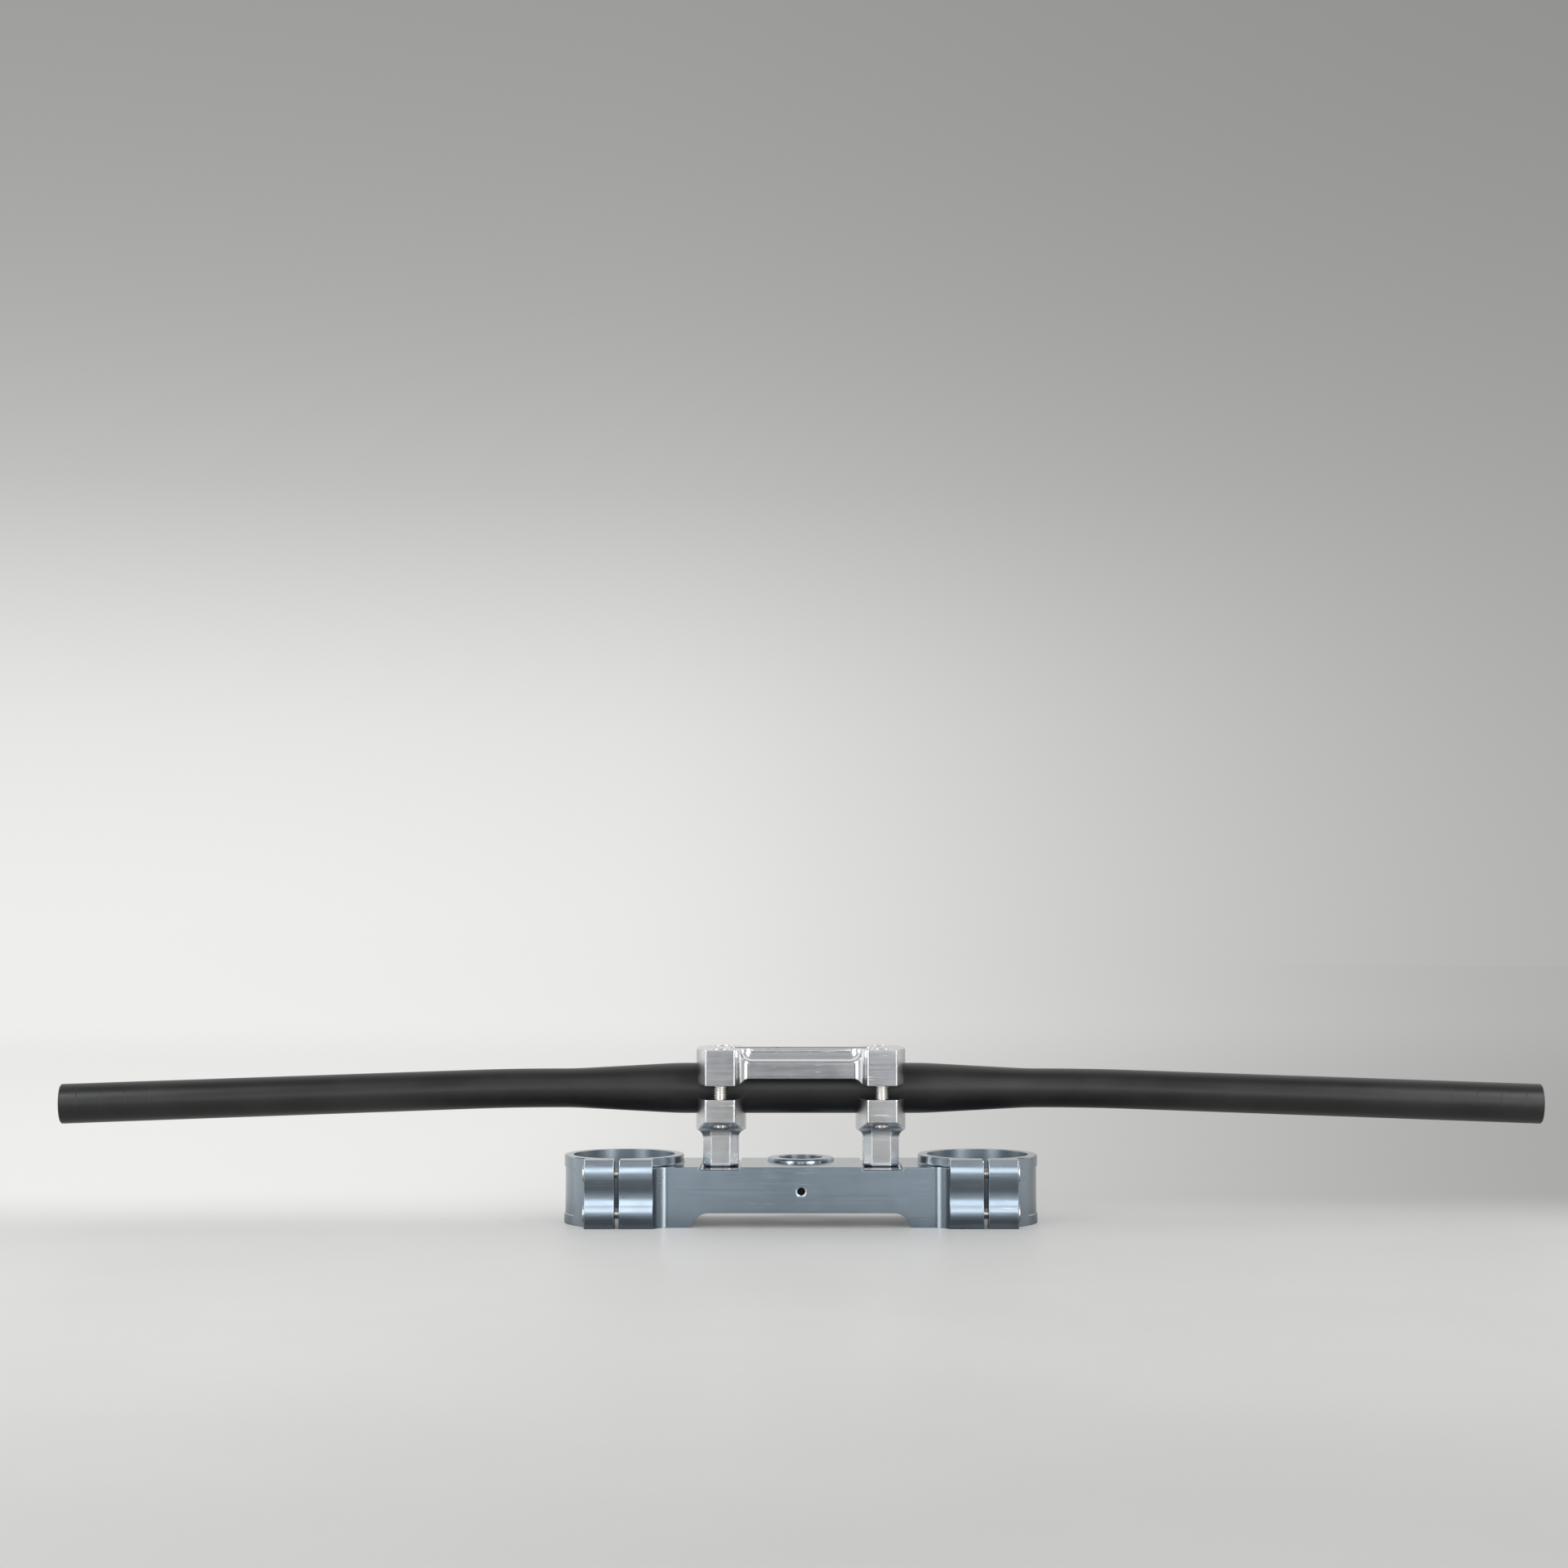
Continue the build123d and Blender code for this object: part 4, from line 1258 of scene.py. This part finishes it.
@dataclass
class Fasteners:
    """All ten bolts, each set where its frame node is."""

    finish: MachinedMetal
    clamp_size: BoltSize = BoltSize(8 * MM, 1.25 * MM, 30 * MM, 24 * MM, 13 * MM, 8 * MM, 6 * MM, 4 * MM)
    riser_size: BoltSize = BoltSize(10 * MM, 1.5 * MM, 35 * MM, 26 * MM, 16 * MM, 10 * MM, 8 * MM, 5 * MM)
    pinch_size: BoltSize = BoltSize(6 * MM, 1.0 * MM, 30 * MM, 20 * MM, 10 * MM, 6 * MM, 5 * MM, 3 * MM)

    def seat(self, node: str, size: BoltSize, way: Vector) -> Matrix:
        """Where a bolt's head seat is, read from its node's box.

        Args:
            node: the frame's node.
            size: the bolt's sizes.
            way: the way that the head's top faces.

        Returns:
            The place of a bolt made with its head up.
        """
        low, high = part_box(node)
        middle = (low + high) / 2
        reach = (high - low).dot(Vector([abs(v) for v in way])) / 2
        top = middle + way * reach
        turn = Vector((0.0, 0.0, 1.0)).rotation_difference(way).to_matrix().to_4x4()
        return Matrix.Translation(top - way * size.head_height) @ turn

    def build(self, material: bpy.types.Material) -> list[bpy.types.Object]:
        """Make every bolt.

        Args:
            material: the stainless finish.

        Returns:
            The finished pieces.
        """
        jobs = []
        for side, sign in (("left", -1.0), ("right", 1.0)):
            for row in ("front", "rear"):
                jobs.append((f"clamp_bolt_{row}_{side}", self.clamp_size, Vector((0.0, 0.0, 1.0))))
            jobs.append((f"riser_bolt_{side}", self.riser_size, Vector((0.0, 0.0, -1.0))))
            for level in ("upper", "lower"):
                jobs.append((f"pinch_bolt_{level}_{side}", self.pinch_size, Vector((sign, 0.0, 0.0))))
        pieces = []
        for node, size, way in jobs:
            place = self.seat(node, size, way)
            pieces.append(SocketBolt(size).build(node, place, self.finish, material))
        return pieces


@dataclass
class FrameMetal:
    """The frame nodes that keep their own shape and only get a finish."""

    finishes: Finishes

    def build(self, nodes: dict[str, bpy.types.Object]) -> list[str]:
        """Dress the clamp, the risers, the washers and the yoke.

        Args:
            nodes: the frame's nodes by name.

        Returns:
            The names of the dressed nodes.
        """
        by_start = {
            "top_clamp": self.finishes.clamp,
            "riser_washer": self.finishes.washer,
            "riser_left": self.finishes.riser,
            "riser_right": self.finishes.riser,
            "top_yoke": self.finishes.yoke,
        }
        made: dict[str, bpy.types.Material] = {}
        dressed = []
        for name, node in nodes.items():
            for start, finish in by_start.items():
                if name.startswith(start):
                    if finish.name not in made:
                        made[finish.name] = finish.material()
                    for place in node.material_slots:
                        place.material = made[finish.name]
                    dressed.append(name)
        return dressed


@dataclass(frozen=True)
class Lamp:
    """One soft rectangular light, in metres and watts."""

    name: str
    place: Point
    width: float
    height: float
    power: float
    tint: Colour = (1.0, 1.0, 1.0)
    target: Point = (0.0, 0.0, 0.07)
    mirrored_only: bool = False

    def hang(self) -> None:
        """Put the light in the scene. One that is mirrored only shows in shiny surfaces alone."""
        lamp = bpy.data.lights.new(self.name, "AREA")
        lamp.shape = "RECTANGLE"
        lamp.size, lamp.size_y = self.width, self.height
        lamp.energy, lamp.color = self.power, self.tint
        hung = bpy.data.objects.new(self.name, lamp)
        hung.location = self.place
        way = Vector(self.target) - Vector(self.place)
        hung.rotation_euler = way.to_track_quat("-Z", "Y").to_euler()
        hung.visible_camera = False
        hung.visible_diffuse = not self.mirrored_only
        bpy.context.scene.collection.objects.link(hung)


@dataclass
class Studio:
    """The floor, the pale surroundings, the lights and the camera.

    The lights are a low bank in front, side panels with a bright strip each, a lamp over each grip
    and two washes. The floor's colour holds painted light, lighter towards the object and on the left,
    and painted shade that only the metal's reflections show: a painted contact shadow and a darker front.
    """

    eye: Point = (-0.00965, -1.42, 0.1698)
    tilt: float = 3.245
    lens: float = 56.55
    sensor: float = 36.0
    lamps: tuple[Lamp, ...] = (
        Lamp("bank_front_right", (0.25, -2.2, 0.38), 0.32, 0.60, 2.45),
        Lamp("bank_front_left", (-0.27, -2.2, 0.38), 0.32, 0.60, 2.7),
        Lamp("bank_front_middle", (-0.01, -2.2, 0.40), 0.20, 0.60, 0.45),
        Lamp("panel_right", (1.04, -1.75, 0.62), 0.90, 1.2, 9.0),
        Lamp("panel_left", (-1.20, -1.64, 0.62), 0.95, 1.2, 9.6, COOL),
        Lamp("strip_right", (1.02, -1.75, 0.50), 0.62, 1.0, 7.0, mirrored_only=True),
        Lamp("strip_left", (-1.18, -1.64, 0.50), 0.62, 1.0, 3.6, COOL, mirrored_only=True),
        Lamp("grip_lamp_right", (0.80, -0.72, 0.86), 0.34, 0.40, 8.0, target=(0.40, -0.02, 0.07),
             mirrored_only=True),
        Lamp("grip_lamp_left", (-0.80, -0.72, 0.86), 0.34, 0.40, 7.5, COOL, (-0.40, -0.02, 0.07), True),
        Lamp("wash_left", (-2.3, 0.1, 0.50), 1.7, 0.9, 5.4, COOL),
        Lamp("wash_right", (2.3, 0.3, 0.50), 1.7, 0.8, 4.4),
    )
    floor_radius: float = 9.0
    floor_tint: Colour = (1.0, 0.994, 0.965)
    floor_painted_light: Stops = ((0.0, 0.69), (0.09, 0.74), (0.30, 0.86), (0.50, 0.90), (0.73, 0.935), (0.96, 0.96))
    floor_roughness: float = 0.42
    floor_gloss: float = 0.22
    floor_side: Colour = (0.93, 0.925, 0.90)
    floor_outside: float = 0.82
    floor_front_painted_shade: Colour = (0.36, 0.355, 0.345)
    floor_contact_painted_shadow: Colour = (0.17, 0.17, 0.168)
    floor_behind: Colour = (0.42, 0.42, 0.42)
    room: Colour = (0.40, 0.405, 0.415)
    overhead: Colour = (1.05, 1.055, 1.07)
    ambient: Colour = (0.56, 0.56, 0.56)
    pale_tint: Colour = (1.0, 0.996, 0.976)
    pale_width: float = 0.64
    pale_height: float = 0.40
    across: Stops = (
        (0.0, 1.0), (0.2, 1.0), (0.4, 0.93), (0.52, 0.78), (0.68, 0.48), (0.84, 0.23), (1.0, 0.0)
    )
    upward: Stops = (
        (0.0, 1.0), (0.19, 0.92), (0.27, 0.84), (0.355, 0.66), (0.436, 0.46), (0.59, 0.28), (0.74, 0.25),
        (1.0, 0.15),
    )
    base_low: float = 0.685
    base_high: float = 0.565
    glow: float = 0.25

    def pale(self, board: Board, sideways: object, up: object) -> Socket:
        """The backdrop's brightness: a wide glow low on the left, falling off up and to the right.

        Args:
            board: the tree.
            sideways: how far to the right, as a share of the distance.
            up: how far up, in the same measure.

        Returns:
            The colour.
        """
        right = board.plus(board.times(sideways, 1.0 / self.pale_width), 0.5)
        high = board.math("DIVIDE", up, self.pale_height)
        falls = board.times(board.ramp(right, self.across), board.ramp(high, self.upward))
        level = board.times_plus(falls, self.glow, board.span(up, 0.0, 0.38, self.base_low, self.base_high))
        return board.blend(1.0, board.grey(board.math("POWER", level, 2.2)), self.pale_tint, "MULTIPLY")

    def surroundings(self) -> None:
        """The pale surroundings: bright behind the object, dimmer behind the camera for reflections."""
        world = bpy.data.worlds.new("pale_studio")
        world.use_nodes = True
        board = Board(world.node_tree)
        board.tree.nodes.clear()
        x, y, z = board.split(board.add("ShaderNodeTexCoord").outputs["Generated"])
        pale = self.pale(board, x, z)
        mirrored = board.blend(board.span(y, -0.35, 0.25), self.room, pale)
        overhead = board.times(board.span(y, -0.05, 0.35), board.span(z, 0.12, 0.45))
        mirrored = board.blend(overhead, mirrored, self.overhead)
        rays = board.add("ShaderNodeLightPath").outputs
        shown = board.blend(rays["Is Camera Ray"], mirrored, pale)
        seen = board.most(rays["Is Camera Ray"], rays["Is Glossy Ray"])
        seen = board.most(seen, rays["Is Transmission Ray"])
        background = board.add("ShaderNodeBackground")
        board.feed(background.inputs["Color"], board.blend(seen, self.ambient, shown))
        output = board.add("ShaderNodeOutputWorld")
        board.feed(output.inputs["Surface"], background.outputs[0])
        bpy.context.scene.world = world

    def sheet(self, board: Surface, x: Socket, y: Socket, sideways: Socket) -> None:
        """Dress the satin sheet round the object, with painted light in its colour and painted shade that
        only the metal's reflections show.

        Args:
            board: the floor's material.
            x: the place to the right.
            y: the place away from the camera.
            sideways: how far to the right of the view, as a share of the distance.
        """
        rays = board.add("ShaderNodeLightPath").outputs
        outside = board.most(board.span(board.unsigned(sideways), 0.33, 0.55), board.span(y, -0.79, -0.95))
        outside = board.times(board.times(outside, board.span(y, -1.9, -1.2)), rays["Is Camera Ray"])
        mottle = board.noise(board.place, 5.0, 3.0, 0.6)
        # Painted light: the floor's colour is lighter towards the object and on the left, and darker far in
        # front and to the right, as light falls there.
        level = board.ramp(board.span(y, -0.8, 0.0), self.floor_painted_light)
        for share in (
            board.span(x, -0.25, 0.10, 1.0, 0.90),
            board.span(y, -1.5, -0.85, 0.40, 1.0),
            board.span(mottle, 0.3, 0.7, 0.985, 1.015),
            board.span(outside, 0.0, 1.0, 1.0, self.floor_outside),
        ):
            level = board.times(level, share)
        colour = board.blend(1.0, board.grey(level), self.floor_tint, "MULTIPLY")
        sides = board.most(board.span(x, -0.32, -0.58), board.span(x, 0.62, 0.90))
        colour = board.blend(board.times(sides, board.minus(1.0, outside)), colour, self.floor_side)
        # Painted shade seen only in reflections: a painted contact shadow on the floor just in front of the
        # object, and a darker band farther in front.
        contact_shadow_mask = board.times(board.span(y, -0.15, -0.035), board.span(board.unsigned(x), 0.23, 0.17))
        for place, tone in ((board.span(y, -0.25, -0.75), self.floor_front_painted_shade), (contact_shadow_mask, self.floor_contact_painted_shadow)):
            colour = board.blend(board.times(rays["Is Glossy Ray"], place), colour, tone)
        board.dress(
            Base_Color=colour, Roughness=board.plus(board.swing(mottle, 0.08), self.floor_roughness),
            Specular_IOR_Level=board.span(outside, 0.0, 1.0, self.floor_gloss, 0.0),
            Normal=board.bump(board.noise(board.place, 900.0, 2.0, 0.6), 0.02 * MM, 0.15),
        )

    def fade(self, board: Surface, x: Socket, y: Socket, sideways: Socket) -> Socket:
        """The floor behind the object, which glows as the backdrop does and still takes the shadow.

        Args:
            board: the floor's material.
            x: the place to the right.
            y: the place away from the camera.
            sideways: how far to the right of the view, as a share of the distance.

        Returns:
            The shader.
        """
        pale = self.pale(board, sideways, 0.0)
        rays = board.add("ShaderNodeLightPath").outputs
        seen = board.most(rays["Is Camera Ray"], rays["Is Glossy Ray"])
        brighter = board.times(board.span(x, 0.62, 0.90), rays["Is Glossy Ray"])
        left = board.times(board.span(x, 0.0, -0.25, 0.0, 0.15), board.span(y, 1.9, 0.4))
        strength = board.times(seen, board.span(y, 0.2, 3.0, 0.62, 0.765))
        strength = board.times(strength, board.times_plus(brighter, 1.2, 1.0))
        strength = board.times_plus(left, strength, strength)
        strength = board.times(strength, board.span(sideways, 0.12, 0.30, 1.0, 0.955))
        glow = board.add("ShaderNodeEmission")
        board.feed(glow.inputs["Color"], pale)
        board.feed(glow.inputs["Strength"], strength)
        lit = board.add("ShaderNodeBsdfDiffuse")
        board.feed(lit.inputs["Color"], board.blend(1.0, pale, self.floor_behind, "MULTIPLY"))
        both = board.add("ShaderNodeAddShader")
        board.feed(both.inputs[0], glow.outputs[0])
        board.feed(both.inputs[1], lit.outputs[0])
        return both.outputs[0]

    def floor_material(self) -> bpy.types.Material:
        """Satin pale sheet that fades into the backdrop behind the object.

        Returns:
            The material.
        """
        board = Surface("pale_floor")
        x, y, _ = board.split(board.place)
        sideways = board.math("DIVIDE", x, board.distance(board.plus(y, -self.eye[1]), x))
        self.sheet(board, x, y, sideways)
        mixed = board.add("ShaderNodeMixShader")
        board.feed(mixed.inputs[0], board.span(y, -0.06, 0.16))
        board.feed(mixed.inputs[1], board.shader.outputs[0])
        board.feed(mixed.inputs[2], self.fade(board, x, y, sideways))
        output = next(node for node in board.tree.nodes if node.type == "OUTPUT_MATERIAL")
        board.feed(output.inputs["Surface"], mixed.outputs[0])
        return board.material

    def floor(self) -> None:
        """The wide round floor that the yoke stands on."""
        turns = [math.tau * number / FLOOR_SIDES for number in range(FLOOR_SIDES)]
        reach = self.floor_radius
        rim = [(reach * math.cos(turn), reach * math.sin(turn), 0.0) for turn in turns]
        made = plain_mesh("floor", rim, [tuple(range(FLOOR_SIDES))])
        made.data.materials.append(self.floor_material())

    def camera(self) -> None:
        """The camera at the photograph's place."""
        data = bpy.data.cameras.new("camera")
        data.lens, data.sensor_width = self.lens, self.sensor
        data.clip_start, data.clip_end = 0.05, 60.0
        made = bpy.data.objects.new("camera", data)
        made.location = self.eye
        made.rotation_euler = (math.radians(90.0 + self.tilt), 0.0, 0.0)
        bpy.context.scene.collection.objects.link(made)
        bpy.context.scene.camera = made

    def build(self) -> None:
        """Set up everything round the object."""
        self.camera()
        self.floor()
        self.surroundings()
        for lamp in self.lamps:
            lamp.hang()
        bpy.context.scene.view_settings.view_transform = "Standard"


def clear_start_scene(loaded: dict) -> None:
    """Remove whatever Blender's own start file holds.
    """
    kept = {*loaded["nodes"].values(), *loaded["bodies"].values()}
    for thing in list(bpy.data.objects):
        if thing not in kept:
            bpy.data.objects.remove(thing)


def corners(box: tuple[Vector, Vector]) -> list[list[float]]:
    """A box's two corners as plain lists."""
    return [list(corner) for corner in box]


def main(loaded: dict) -> None:
    """Build every piece in order and report each through the log.
    """
    logging.basicConfig(level=logging.INFO, format="%(name)s: %(message)s")
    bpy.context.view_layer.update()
    clear_start_scene(loaded)
    Studio().build()
    LOG.info("studio ready")

    finishes = Finishes()
    dressed = FrameMetal(finishes).build(loaded["nodes"])
    LOG.info("finished in place: %s", ", ".join(sorted(dressed)))
    bar = Handlebar(finishes.bar).build(finishes.bar.material())
    LOG.info("%s: %d faces", bar.name, len(bar.data.polygons))
    for bolt in Fasteners(finishes.bolt).build(finishes.bolt.material()):
        LOG.info("%s: %d faces", bolt.name, len(bolt.data.polygons))

    LOG.info("sizes written")


if __name__ == "__main__":
    main(frame)
